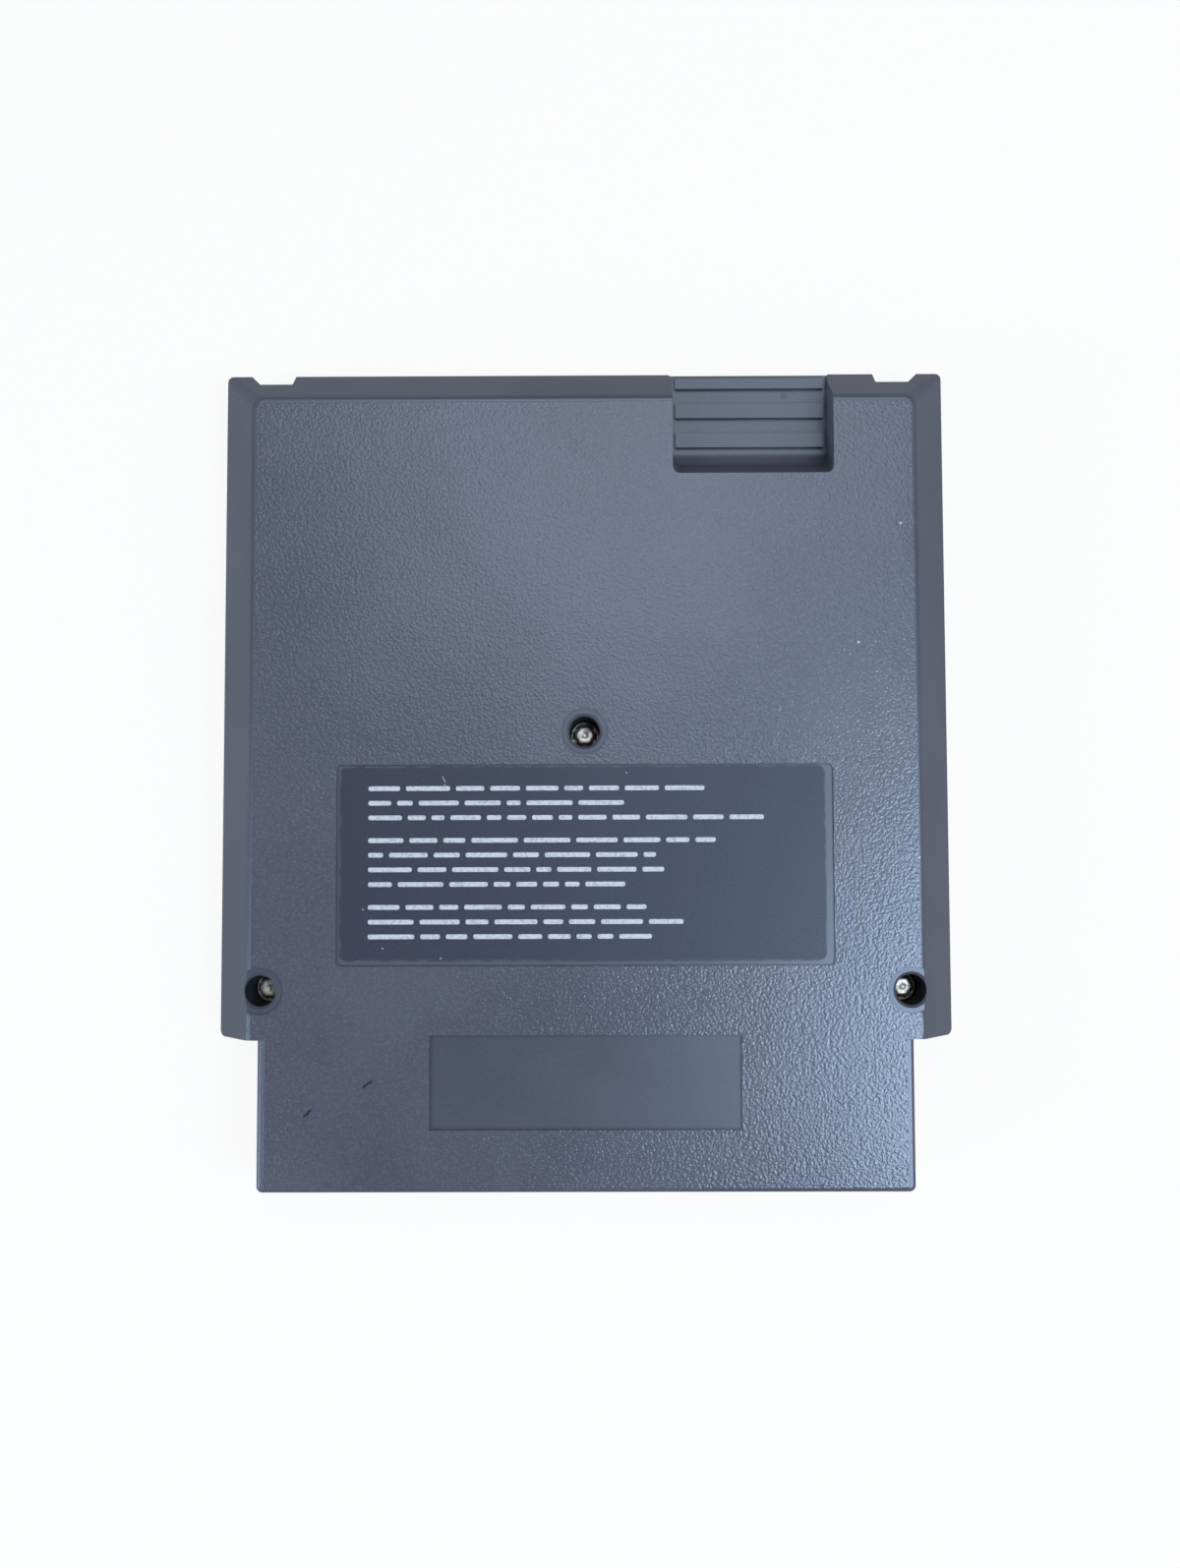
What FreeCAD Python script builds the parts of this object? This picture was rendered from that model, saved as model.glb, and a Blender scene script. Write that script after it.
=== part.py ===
import FreeCAD, Part
import math
import os

# A game cartridge lying on its front face with its rear face up: two moulded shells, held by
# three screws and two hooks, round a circuit board whose contact edge shows in the open mouth.
# Millimetres. X runs across, Y from the mouth to the top edge, Z up from the front face.
# Y is measured from the mouth rim here, and export() centres the part on the origin.

# Case
WIDTH = 120.0
HEIGHT = 134.2
THICKNESS = 17.0
PARTING_Z = 8.5
WALL = 2.0
NECK_INSET = 7.7
NECK_HEIGHT = 24.0
CORNER_R = 1.0
NECK_EDGE_R = 0.8
FRONT_EDGE_R = 0.8

# Sloped border of the rear shell
BEVEL = 6.0
BEVEL_LAND = 0.8
BEVEL_CORNER_R = 2.2
BEVEL_EDGE_R = 1.4

# Mouth and the ribs that hold the board behind it
MOUTH_SIDE_WALL = 3.3
MOUTH_GAP = 4.8
STOP_RIB = 1.6
STOP_RIB_BEHIND_CONTACTS = 2.6
STOP_RIB_END_GAP = 3.0

# Notches in the top edge, and the hooks behind them
NOTCH_FROM_SIDE = 6.1
NOTCH_WIDTH = 5.4
NOTCH_DEPTH = 2.3
NOTCH_OUTER_RUN = 2.0
NOTCH_WALL = 1.4
HOOK_THICKNESS = 1.4
HOOK_REACH = 4.3
HOOK_NOSE = 1.5
HOOK_PLAY = 0.2

# Thumb grip
GRIP_X = 27.6
GRIP_WIDTH = 26.2
GRIP_LENGTH = 18.8
GRIP_SLOPE = 3.4
GRIP_FLOOR = 1.5
GRIP_DRAFT = 0.1
GRIP_CORNER_R = 1.2
GRIP_COVE_R = 3.0
GRIP_DIP = 0.35
GRIP_BARS = 3
BAR_PITCH = 4.97
BAR_WIDTH = 2.4
BAR_HEIGHT = 0.8
BAR_END_GAP = 0.65
BAR_BELOW_TOP = 1.66

# Screw wells and screws
SCREW_FROM_SIDE = 8.0
SCREW_ABOVE_NECK = 7.8
CENTRE_SCREW_Y = 73.3
WELL_R = 2.47
WELL_RIM_R = 3.75
WELL_RIM_DEPTH = 0.2
WELL_CHAMFER = 0.45
HEAD_SUNK = 7.2
HEAD_R = 1.9
HEAD_HEIGHT = 1.6
HEAD_DOME = 0.35
HEAD_GROOVES = 6
HEAD_GROOVE = 0.45
HEAD_LOBE_SPREAD = 20.0
FLANGE = 0.6
FLANGE_PLAY = 0.15
SEAT = 1.8
BOSS_WALL = 1.7
FRONT_BOSS_R = 3.4
SHANK_R = 1.25
SHANK_PLAY = 0.35
PILOT_FLOOR = 1.0
SHANK_TIP_GAP = 0.5
POST_SIDES = 8
FLANGE_SIDES = 12

# Sticker, its recess and the name panel
STICKER_WIDTH = 78.0
STICKER_HEIGHT = 31.3
STICKER_THICKNESS = 0.18
STICKER_CORNER_R = 1.5
STICKER_OFF_X = -0.35
STICKER_OFF_Y = 0.25
RECESS_MARGIN_X = 0.9
RECESS_MARGIN_Y = 0.5
RECESS_DEPTH = 0.35
RECESS_CORNER_R = 1.0
RECESS_Y = 51.85
PANEL_WIDTH = 49.7
PANEL_HEIGHT = 14.95
PANEL_Y = 17.3
PANEL_DEPTH = 0.35

# Front face: bare label bed and ribbed column
BED_WIDTH = 68.0
BED_X = -12.0
BED_ABOVE_NECK = 10.0
BED_DEPTH = 0.4
BED_CORNER_R = 2.0
COLUMN_X = 40.2
COLUMN_WIDTH = 26.2
COLUMN_GROOVES = 17
COLUMN_TOP_GAP = 8.0
GROOVE_WIDTH = 2.6
GROOVE_DEPTH = 0.7

# Lips inside the side walls of the front shell
LIP_THICKNESS = 1.0
LIP_HEIGHT = 1.6
LIP_FOOT = 2.2
LIP_PLAY = 0.15
LIP_END_GAP = 14.0

# Circuit board and its fixing pins
BOARD_THICKNESS = 1.2
BOARD_DROP = 0.9
BOARD_SIDE_GAP = 9.5
BOARD_EDGE_Y = 8.0
BOARD_HEIGHT = 56.0
BOARD_CHAMFER = 0.3
BOARD_PLAY = 0.5
TONGUE_PLAY = 1.7
PIN_R = 1.4
PIN_PLAY = 0.15
PIN_HEIGHT = 0.7
PIN_INSET = 4.2
PIN_BELOW_TOP = 6.0
POST_R = 2.7
CONTACTS = 36
CONTACT_MARGIN = 2.3
CONTACT_SHARE = 0.66
CONTACT_LENGTH = 9.5
CONTACT_THICKNESS = 0.05
CONTACT_SETBACK = 0.7

# Chips in two-row packages
PIN_PITCH = 2.54
CHIP_HEIGHT = 3.7
CHIP_STANDOFF = 0.5
CHIP_DRAFT = 0.45
CHIP_BAND = 0.4
CHIP_NOTCH = 1.4
CHIP_NOTCH_DEPTH = 0.5
LEAD_THICKNESS = 0.28
LEAD_WIDTH = 0.55
LEAD_REACH = 1.1
LEAD_HOLE = 0.85
MEMORY_LEAD_COUNT = 14
MEMORY_LENGTH = 36.6
MEMORY_WIDTH = 13.7
MEMORY_ROWS = 15.24
MEMORY_X = 24.0
MEMORY_ABOVE_EDGE = 35.5
LOCK_LEAD_COUNT = 8
LOCK_LENGTH = 19.4
LOCK_WIDTH = 6.3
LOCK_ROWS = 7.62
LOCK_FROM_BOARD_END = 24.5
TOP_ROW_BELOW_TOP = 6.1

# Supply capacitor, lying on the board
CAN_R = 2.4
CAN_LENGTH = 11.0
CAN_FROM_BOARD_END = 17.0
CAN_SIDES = 12
CAN_CRIMP = 0.35
CAN_CRIMP_WIDTH = 0.8
SLEEVE = 0.1
BUNG_R = 1.8
BUNG_DEPTH = 1.2
WIRE = 0.5
WIRE_SPACING = 2.0
WIRE_RUN = 2.6

# Disc capacitors, standing between the memory chips
DISC_R = 2.3
DISC_THICKNESS = 2.2
DISC_CHAMFER = 0.6
DISC_SIDES = 12
DISC_STANDOFF = 0.6
DISC_X = 2.7
DISC_WIRE_SPACING = 3.0

# Worked out from the sizes above
BEYOND = 2.0
TOUCH = 1e-6
HALF_WIDTH = WIDTH / 2
HALF_NECK = HALF_WIDTH - NECK_INSET
HALF_MOUTH = HALF_NECK - MOUTH_SIDE_WALL
BODY_FLOOR_Y = NECK_HEIGHT + WALL
BEVEL_FOOT_Z = PARTING_Z + BEVEL_LAND
BEVEL_RUN = BEVEL / (THICKNESS - BEVEL_FOOT_Z)
GRIP_FLOOR_Z = PARTING_Z + GRIP_FLOOR
SCREW_X = HALF_WIDTH - SCREW_FROM_SIDE
SCREW_Y = NECK_HEIGHT + SCREW_ABOVE_NECK
SCREW_PLACES = [(-SCREW_X, SCREW_Y), (SCREW_X, SCREW_Y), (0.0, CENTRE_SCREW_Y)]
SEAT_Z = THICKNESS - HEAD_SUNK - HEAD_HEIGHT - FLANGE
BOSS_END_Z = SEAT_Z - SEAT
BOSS_R = WELL_R + BOSS_WALL
NOTCH_X = HALF_WIDTH - NOTCH_FROM_SIDE - NOTCH_WIDTH / 2
NOTCH_FLOOR_Y = HEIGHT - NOTCH_DEPTH
BOARD_Z = PARTING_Z - BOARD_DROP
BOARD_TOP_Z = BOARD_Z + BOARD_THICKNESS
BOARD_TOP_Y = BOARD_EDGE_Y + BOARD_HEIGHT
HALF_BOARD = HALF_WIDTH - BOARD_SIDE_GAP
HALF_TONGUE = HALF_MOUTH - TONGUE_PLAY
MOUTH_LOW_Z = BOARD_Z - MOUTH_GAP
MOUTH_HIGH_Z = BOARD_TOP_Z + MOUTH_GAP
STOP_RIB_Y = BOARD_EDGE_Y + CONTACT_SETBACK + CONTACT_LENGTH + STOP_RIB_BEHIND_CONTACTS
PIN_PLACES = [(side * (HALF_BOARD - PIN_INSET), BOARD_TOP_Y - PIN_BELOW_TOP) for side in (-1, 1)]
CONTACT_PITCH = 2 * (HALF_TONGUE - CONTACT_MARGIN) / CONTACTS
MEMORY_Y = BOARD_EDGE_Y + MEMORY_ABOVE_EDGE
TOP_ROW_Y = BOARD_TOP_Y - TOP_ROW_BELOW_TOP
LOCK_X = HALF_BOARD - LOCK_FROM_BOARD_END
CAN_X = CAN_FROM_BOARD_END - HALF_BOARD
CAN_AXIS_Z = BOARD_TOP_Z + CAN_R + SLEEVE
WIRE_END_X = CAN_X + CAN_LENGTH + WIRE_RUN
DISC_Z = BOARD_TOP_Z + DISC_STANDOFF + DISC_R
LEAD_END_Z = BOARD_Z - LEAD_REACH


def vec(x, y, z):
    return FreeCAD.Vector(x, y, z)


def box(x0, x1, y0, y1, z0, z1):
    return Part.makeBox(x1 - x0, y1 - y0, z1 - z0, vec(x0, y0, z0))


def cylinder(x, y, radius, z0, z1):
    return Part.makeCylinder(radius, z1 - z0, vec(x, y, z0))


def ring(radius, sides):
    """Corners of a flat-sided ring, each of its sides at the given radius from the middle."""
    reach = radius / math.cos(math.pi / sides)
    angles = [2 * math.pi * (i + 0.5) / sides for i in range(sides)]
    return [(reach * math.cos(angle), reach * math.sin(angle)) for angle in angles]


def post(x, y, radius, z0, z1, sides=POST_SIDES):
    """Upright flat-sided post."""
    points = [vec(x + a, y + b, z0) for a, b in ring(radius, sides)]
    return prism(points, vec(0, 0, z1 - z0))


def rounding(corner, back, ahead, radius):
    """Start, middle and end of the arc that rounds a corner between two directions."""
    half = back.getAngle(ahead) / 2
    reach = radius / math.tan(half)
    middle = corner + (back + ahead).normalize() * (radius / math.sin(half) - radius)
    return corner + back * reach, middle, corner + ahead * reach


def outline(corners, z):
    """Closed wire at height z through corners (x, y, radius), rounded where the radius is not 0."""
    points = [vec(x, y, z) for x, y, radius in corners]
    runs = []
    for i, (x, y, radius) in enumerate(corners):
        corner = points[i]
        if radius == 0:
            runs.append((corner, None, corner))
            continue
        back = (points[i - 1] - corner).normalize()
        ahead = (points[(i + 1) % len(points)] - corner).normalize()
        runs.append(rounding(corner, back, ahead, radius))
    edges = []
    for i, (start, middle, end) in enumerate(runs):
        if middle is not None:
            edges.append(Part.Arc(start, middle, end).toShape())
        edges.append(Part.makeLine(end, runs[(i + 1) % len(runs)][0]))
    return Part.Wire(edges)


def slab(corners, z0, z1):
    return Part.Face(outline(corners, z0)).extrude(vec(0, 0, z1 - z0))


def taper(low, z0, high, z1):
    return Part.makeLoft([outline(low, z0), outline(high, z1)], True, True)


def rectangle(x0, x1, y0, y1, low_r=0, high_r=0):
    return [(x0, y0, low_r), (x1, y0, low_r), (x1, y1, high_r), (x0, y1, high_r)]


def prism(points, length):
    """Solid whose end is the polygon through the points, drawn out by the length vector."""
    return Part.Face(Part.makePolygon(points + [points[0]])).extrude(length)


def rim_edges(shape, z, skip_y=None):
    """Edges lying at height z, other than the one that lies along the line Y = skip_y."""
    found = []
    for edge in shape.Edges:
        bounds = edge.BoundBox
        if max(abs(bounds.ZMin - z), abs(bounds.ZMax - z)) > TOUCH:
            continue
        if skip_y is None or max(abs(bounds.YMin - skip_y), abs(bounds.YMax - skip_y)) > TOUCH:
            found.append(edge)
    return found


def neck_block(z0, z1, face_z):
    """Solid neck, with its edges rounded at face_z, reaching into the wide body."""
    top = BODY_FLOOR_Y + BEYOND
    block = slab(rectangle(-HALF_NECK, HALF_NECK, 0, top, CORNER_R, 0), z0, z1)
    return block.makeFillet(NECK_EDGE_R, rim_edges(block, face_z, top))


def notch_tools():
    """Prisms that cut the two notches and the dip at the thumb grip out of the top edge."""
    tools = []
    inner = NOTCH_X - NOTCH_WIDTH / 2
    outer = NOTCH_X + NOTCH_WIDTH / 2
    for side in (-1, 1):
        points = [
            vec(side * inner, NOTCH_FLOOR_Y, -BEYOND),
            vec(side * outer, NOTCH_FLOOR_Y, -BEYOND),
            vec(side * (outer + NOTCH_OUTER_RUN), HEIGHT, -BEYOND),
            vec(side * (outer + NOTCH_OUTER_RUN), HEIGHT + BEYOND, -BEYOND),
            vec(side * inner, HEIGHT + BEYOND, -BEYOND),
        ]
        tools.append(prism(points, vec(0, 0, THICKNESS + 2 * BEYOND)))
    half = GRIP_WIDTH / 2
    points = [
        vec(GRIP_X - half - GRIP_DIP, HEIGHT, -BEYOND),
        vec(GRIP_X - half, HEIGHT - GRIP_DIP, -BEYOND),
        vec(GRIP_X + half, HEIGHT - GRIP_DIP, -BEYOND),
        vec(GRIP_X + half + GRIP_DIP, HEIGHT, -BEYOND),
        vec(GRIP_X + half + GRIP_DIP, HEIGHT + BEYOND, -BEYOND),
        vec(GRIP_X - half - GRIP_DIP, HEIGHT + BEYOND, -BEYOND),
    ]
    tools.append(prism(points, vec(0, 0, THICKNESS + 2 * BEYOND)))
    return tools


def notch_backs(thickness):
    """Blocks that keep a wall of the given thickness behind the notches."""
    x0 = NOTCH_X - NOTCH_WIDTH / 2 - NOTCH_WALL
    y0 = NOTCH_FLOOR_Y - thickness
    return [
        box(x0, HALF_WIDTH, y0, HEIGHT, 0, THICKNESS),
        box(-HALF_WIDTH, -x0, y0, HEIGHT, 0, THICKNESS),
    ]


def wing_corner_tools():
    """Slivers that round the lower outer corners of the wings on the rear shell."""
    tools = []
    for side in (-1, 1):
        inner = side * (HALF_WIDTH - CORNER_R)
        outer = side * (HALF_WIDTH + BEYOND)
        x0 = min(inner, outer)
        x1 = max(inner, outer)
        high_y = NECK_HEIGHT + CORNER_R
        block = box(x0, x1, NECK_HEIGHT - BEYOND, high_y, PARTING_Z - BEYOND, THICKNESS)
        corner = cylinder(inner, high_y, CORNER_R, PARTING_Z - 2 * BEYOND, THICKNESS + BEYOND)
        tools.append(block.cut(corner))
    return tools


def mouth_tool():
    return box(-HALF_MOUTH, HALF_MOUTH, -BEYOND, BODY_FLOOR_Y + BEYOND, MOUTH_LOW_Z, MOUTH_HIGH_Z)


def grip_pocket(grow, z0, z1):
    """Thumb grip hollow between two heights, grown on all sides, its lower wall leaning back."""
    levels = []
    for z in (z0, z1):
        rise = (z - GRIP_FLOOR_Z) / (THICKNESS - GRIP_FLOOR_Z)
        half = GRIP_WIDTH / 2 - GRIP_DRAFT * (1 - rise) + grow
        low_y = HEIGHT - GRIP_LENGTH + GRIP_SLOPE * (1 - rise) - grow
        radius = GRIP_CORNER_R + grow
        levels.append(rectangle(GRIP_X - half, GRIP_X + half, low_y, HEIGHT + BEYOND, radius, 0))
    return taper(levels[0], z0, levels[1], z1)


def rear_outside():
    """Rear half as one solid block: sloped border on three sides, neck, notches in the top edge."""
    foot = rectangle(-HALF_WIDTH, HALF_WIDTH, NECK_HEIGHT, HEIGHT, 0, CORNER_R)
    crown_half = HALF_WIDTH - BEVEL
    crown = rectangle(-crown_half, crown_half, NECK_HEIGHT, HEIGHT - BEVEL, 0, BEVEL_CORNER_R)
    hood = taper(foot, BEVEL_FOOT_Z, crown, THICKNESS)
    hood = hood.makeFillet(BEVEL_EDGE_R, rim_edges(hood, THICKNESS, NECK_HEIGHT))
    land = slab(foot, PARTING_Z, BEVEL_FOOT_Z)
    block = hood.fuse([land, neck_block(PARTING_Z, THICKNESS, THICKNESS)])
    return block.removeSplitter().cut(notch_tools() + wing_corner_tools())


def rear_cavity():
    """Hollow of the rear half, a wall inside the block and clear of the thumb grip and notches."""
    ceiling = THICKNESS - WALL
    inset = BEVEL_RUN * (ceiling - BEVEL_FOOT_Z) + WALL * math.hypot(1, BEVEL_RUN)
    foot_half = HALF_WIDTH - WALL
    foot = rectangle(-foot_half, foot_half, BODY_FLOOR_Y, HEIGHT - WALL)
    crown_half = HALF_WIDTH - inset
    crown = rectangle(-crown_half, crown_half, BODY_FLOOR_Y, HEIGHT - inset)
    hollow = taper(foot, PARTING_Z, crown, ceiling)
    backs = notch_backs(NOTCH_WALL + HOOK_PLAY + HOOK_THICKNESS)
    return hollow.cut([grip_pocket(WALL, PARTING_Z - BEYOND, THICKNESS)] + backs)


def well_tool(x, y):
    """Screw well with a shallow rim recess, a chamfered mouth, a seat and a shank hole."""
    well = cylinder(x, y, WELL_R, SEAT_Z, THICKNESS + BEYOND)
    rim_z = THICKNESS - WELL_RIM_DEPTH
    rim = cylinder(x, y, WELL_RIM_R, rim_z, THICKNESS + BEYOND)
    chamfer = Part.makeCone(WELL_R, WELL_R + WELL_CHAMFER, WELL_CHAMFER, vec(x, y, rim_z - WELL_CHAMFER))
    shank = post(x, y, SHANK_R + SHANK_PLAY, BOSS_END_Z - BEYOND, SEAT_Z + BEYOND)
    return well.fuse([rim, chamfer, shank])


def hook(side):
    """Hook that hangs from the rear shell and catches in a window of the front shell."""
    half = NOTCH_WIDTH / 2 - 2 * HOOK_PLAY
    back_y = NOTCH_FLOOR_Y - NOTCH_WALL - HOOK_PLAY
    front_y = back_y - HOOK_THICKNESS
    nose_y = NOTCH_FLOOR_Y - HOOK_PLAY
    tip_z = PARTING_Z - HOOK_REACH
    nose_z = tip_z + HOOK_NOSE
    root_z = PARTING_Z + HOOK_THICKNESS
    x0 = side * NOTCH_X - half
    profile = [
        vec(x0, front_y, root_z),
        vec(x0, front_y, tip_z),
        vec(x0, back_y, tip_z),
        vec(x0, nose_y, (tip_z + nose_z) / 2),
        vec(x0, nose_y, nose_z),
        vec(x0, back_y, nose_z),
        vec(x0, back_y, root_z),
    ]
    return prism(profile, vec(2 * half, 0, 0))


def grip_cove():
    """Rounded foot of the leaning wall of the thumb grip."""
    half = GRIP_WIDTH / 2
    foot = vec(GRIP_X - half, HEIGHT - GRIP_LENGTH + GRIP_SLOPE, GRIP_FLOOR_Z)
    floor = vec(0, 1, 0)
    wall = vec(0, -GRIP_SLOPE, THICKNESS - GRIP_FLOOR_Z).normalize()
    start, middle, end = rounding(foot, wall, floor, GRIP_COVE_R)
    root = foot - (floor + wall) * (GRIP_FLOOR / 2)
    arc = Part.Arc(start, middle, end).toShape()
    profile = Part.Wire([arc, Part.makeLine(end, root), Part.makeLine(root, start)])
    return Part.Face(profile).extrude(vec(2 * half, 0, 0))


def grip_bars():
    """Raised bars across the floor of the thumb grip."""
    half = GRIP_WIDTH / 2 - GRIP_DRAFT - BAR_END_GAP
    foot_z = PARTING_Z + GRIP_FLOOR / 2
    top_z = GRIP_FLOOR_Z + BAR_HEIGHT
    bars = []
    for i in range(GRIP_BARS):
        y = HEIGHT - BAR_BELOW_TOP - i * BAR_PITCH
        low = y - BAR_WIDTH / 2
        high = y + BAR_WIDTH / 2
        bars.append(box(GRIP_X - half, GRIP_X + half, low, high, foot_z, top_z))
    return bars


def clamp_tube(x, y):
    """Tube that presses the board on to its post and clears the fixing pin."""
    tube = post(x, y, POST_R, BOARD_TOP_Z, THICKNESS - WALL / 2)
    return tube.cut(post(x, y, PIN_R + 2 * PIN_PLAY, BOARD_Z, BOARD_TOP_Z + 2 * PIN_HEIGHT))


def stop_rib(z0, z1):
    half = HALF_MOUTH - STOP_RIB_END_GAP
    return box(-half, half, STOP_RIB_Y, STOP_RIB_Y + STOP_RIB, z0, z1)


def sticker_slab(margin_x, margin_y, off_x, off_y, radius, z0, z1):
    half_x = STICKER_WIDTH / 2 + margin_x
    half_y = STICKER_HEIGHT / 2 + margin_y
    y = RECESS_Y + off_y
    return slab(rectangle(off_x - half_x, off_x + half_x, y - half_y, y + half_y, radius, radius), z0, z1)


def rear_shell():
    outside = rear_outside()
    below = box(-HALF_WIDTH, HALF_WIDTH, 0, NOTCH_FLOOR_Y, 0, PARTING_Z)
    limits = outside.fuse(below)
    shell = outside.cut([rear_cavity(), mouth_tool()])
    shell = shell.cut(grip_pocket(0, GRIP_FLOOR_Z, THICKNESS + BEYOND))
    inner = [grip_cove()] + grip_bars()
    inner += [post(x, y, BOSS_R, BOSS_END_Z, THICKNESS) for x, y in SCREW_PLACES]
    inner += [clamp_tube(x, y) for x, y in PIN_PLACES]
    inner += [hook(side) for side in (-1, 1)]
    inner.append(stop_rib(BOARD_TOP_Z, MOUTH_HIGH_Z + WALL / 2))
    shell = shell.fuse([piece.common(limits) for piece in inner])
    floor_z = THICKNESS - RECESS_DEPTH
    above_z = THICKNESS + BEYOND
    recess = sticker_slab(RECESS_MARGIN_X, RECESS_MARGIN_Y, 0, 0, RECESS_CORNER_R, floor_z, above_z)
    low_y = PANEL_Y - PANEL_HEIGHT / 2
    high_y = PANEL_Y + PANEL_HEIGHT / 2
    half = PANEL_WIDTH / 2
    panel = box(-half, half, low_y, high_y, THICKNESS - PANEL_DEPTH, above_z)
    wells = [well_tool(x, y) for x, y in SCREW_PLACES]
    return shell.cut([recess, panel] + wells).removeSplitter()


def front_outside():
    """Front half as one solid block: body, neck, and the same notches in the top edge."""
    body = slab(rectangle(-HALF_WIDTH, HALF_WIDTH, NECK_HEIGHT, HEIGHT, CORNER_R, CORNER_R), 0, PARTING_Z)
    body = body.makeFillet(FRONT_EDGE_R, rim_edges(body, 0))
    block = body.fuse(neck_block(0, PARTING_Z, 0))
    return block.removeSplitter().cut(notch_tools())


def bed_tools():
    """Shallow bed for a front label that runs over the top edge."""
    x0 = BED_X - BED_WIDTH / 2
    x1 = BED_X + BED_WIDTH / 2
    low_y = NECK_HEIGHT + BED_ABOVE_NECK
    face = slab(rectangle(x0, x1, low_y, HEIGHT + BEYOND, BED_CORNER_R, 0), -BEYOND, BED_DEPTH)
    edge = box(x0, x1, HEIGHT - BED_DEPTH, HEIGHT + BEYOND, -BEYOND, PARTING_Z - BED_DEPTH)
    return [face, edge]


def column_grooves():
    """Grooves of the ribbed column beside the label bed, evenly spaced."""
    x0 = COLUMN_X - COLUMN_WIDTH / 2
    x1 = COLUMN_X + COLUMN_WIDTH / 2
    low_y = NECK_HEIGHT + BED_ABOVE_NECK
    pitch = (HEIGHT - COLUMN_TOP_GAP - low_y) / COLUMN_GROOVES
    grooves = []
    for i in range(COLUMN_GROOVES):
        y = low_y + i * pitch
        grooves.append(box(x0, x1, y, y + GROOVE_WIDTH, -BEYOND, GROOVE_DEPTH))
    return grooves


def lip(side):
    """Lip that stands up from a side wall of the front shell inside the rear shell."""
    wall_x = HALF_WIDTH - WALL
    face_x = wall_x - LIP_PLAY
    lean = LIP_HEIGHT * BEVEL_RUN
    low_y = SCREW_Y + LIP_END_GAP
    profile = [
        vec(side * (wall_x + WALL / 2), low_y, PARTING_Z - LIP_FOOT),
        vec(side * (wall_x + WALL / 2), low_y, PARTING_Z),
        vec(side * face_x, low_y, PARTING_Z),
        vec(side * (face_x - lean), low_y, PARTING_Z + LIP_HEIGHT),
        vec(side * (face_x - lean - LIP_THICKNESS), low_y, PARTING_Z + LIP_HEIGHT),
        vec(side * (face_x - lean - LIP_THICKNESS), low_y, PARTING_Z),
        vec(side * wall_x, low_y, PARTING_Z - LIP_FOOT),
    ]
    return prism(profile, vec(0, HEIGHT - LIP_END_GAP - low_y, 0))


def front_boss(x, y):
    boss = post(x, y, FRONT_BOSS_R, WALL / 2, BOSS_END_Z)
    return boss.cut(post(x, y, SHANK_R, PILOT_FLOOR, BOSS_END_Z))


def board_post(x, y):
    """Post under the board with the pin that passes through it."""
    pin = post(x, y, PIN_R, BOARD_Z - BEYOND, BOARD_TOP_Z + PIN_HEIGHT)
    return post(x, y, POST_R, WALL / 2, BOARD_Z).fuse(pin)


def hook_window(side):
    half = NOTCH_WIDTH / 2 - HOOK_PLAY
    x = side * NOTCH_X
    tip_z = PARTING_Z - HOOK_REACH
    low_z = tip_z - HOOK_PLAY
    high_z = tip_z + HOOK_NOSE + HOOK_PLAY
    inner_y = NOTCH_FLOOR_Y - NOTCH_WALL
    return box(x - half, x + half, inner_y - BEYOND, HEIGHT + BEYOND, low_z, high_z)


def front_shell():
    inner_half = HALF_WIDTH - WALL
    hollow = box(-inner_half, inner_half, BODY_FLOOR_Y, HEIGHT - WALL, WALL, PARTING_Z + BEYOND)
    hollow = hollow.cut(notch_backs(NOTCH_WALL))
    windows = [hook_window(side) for side in (-1, 1)]
    pilots = [post(x, y, SHANK_R, PILOT_FLOOR, BOSS_END_Z) for x, y in SCREW_PLACES]
    shell = front_outside().cut([hollow, mouth_tool()] + windows + bed_tools() + column_grooves() + pilots)
    bosses = [front_boss(x, y) for x, y in SCREW_PLACES]
    posts = [board_post(x, y) for x, y in PIN_PLACES]
    lips = [lip(side) for side in (-1, 1)]
    rib = stop_rib(MOUTH_LOW_Z - WALL / 2, BOARD_Z)
    return shell.fuse(bosses + posts + lips + [rib]).removeSplitter()


def head_outline(x, y, radius):
    """Corners of a screw head whose side has flat lobes with V grooves between them."""
    corners = []
    for i in range(HEAD_GROOVES):
        lobe = 360 * i / HEAD_GROOVES
        turns = [lobe - HEAD_LOBE_SPREAD, lobe + HEAD_LOBE_SPREAD]
        spots = [(math.radians(turn), radius) for turn in turns]
        spots.append((math.radians(lobe + 180 / HEAD_GROOVES), radius - HEAD_GROOVE))
        corners += [(x + reach * math.cos(a), y + reach * math.sin(a), 0) for a, reach in spots]
    return corners


def screw(x, y):
    """Case screw: flanged stud head with grooves round its side, plain shank."""
    flange_z = SEAT_Z + FLANGE
    dome_z = flange_z + HEAD_HEIGHT - HEAD_DOME
    flange = post(x, y, WELL_R - FLANGE_PLAY, SEAT_Z, flange_z, FLANGE_SIDES)
    stud = slab(head_outline(x, y, HEAD_R), flange_z, dome_z)
    crown = head_outline(x, y, HEAD_R - 2 * HEAD_DOME)
    dome = taper(head_outline(x, y, HEAD_R), dome_z, crown, dome_z + HEAD_DOME)
    shank = post(x, y, SHANK_R, PILOT_FLOOR + SHANK_TIP_GAP, SEAT_Z)
    return flange.fuse([stud, dome, shank]).removeSplitter()


def case_screws():
    return Part.makeCompound([screw(x, y) for x, y in SCREW_PLACES])


def rear_sticker():
    floor_z = THICKNESS - RECESS_DEPTH
    top_z = floor_z + STICKER_THICKNESS
    return sticker_slab(0, 0, STICKER_OFF_X, STICKER_OFF_Y, STICKER_CORNER_R, floor_z, top_z)


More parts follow.
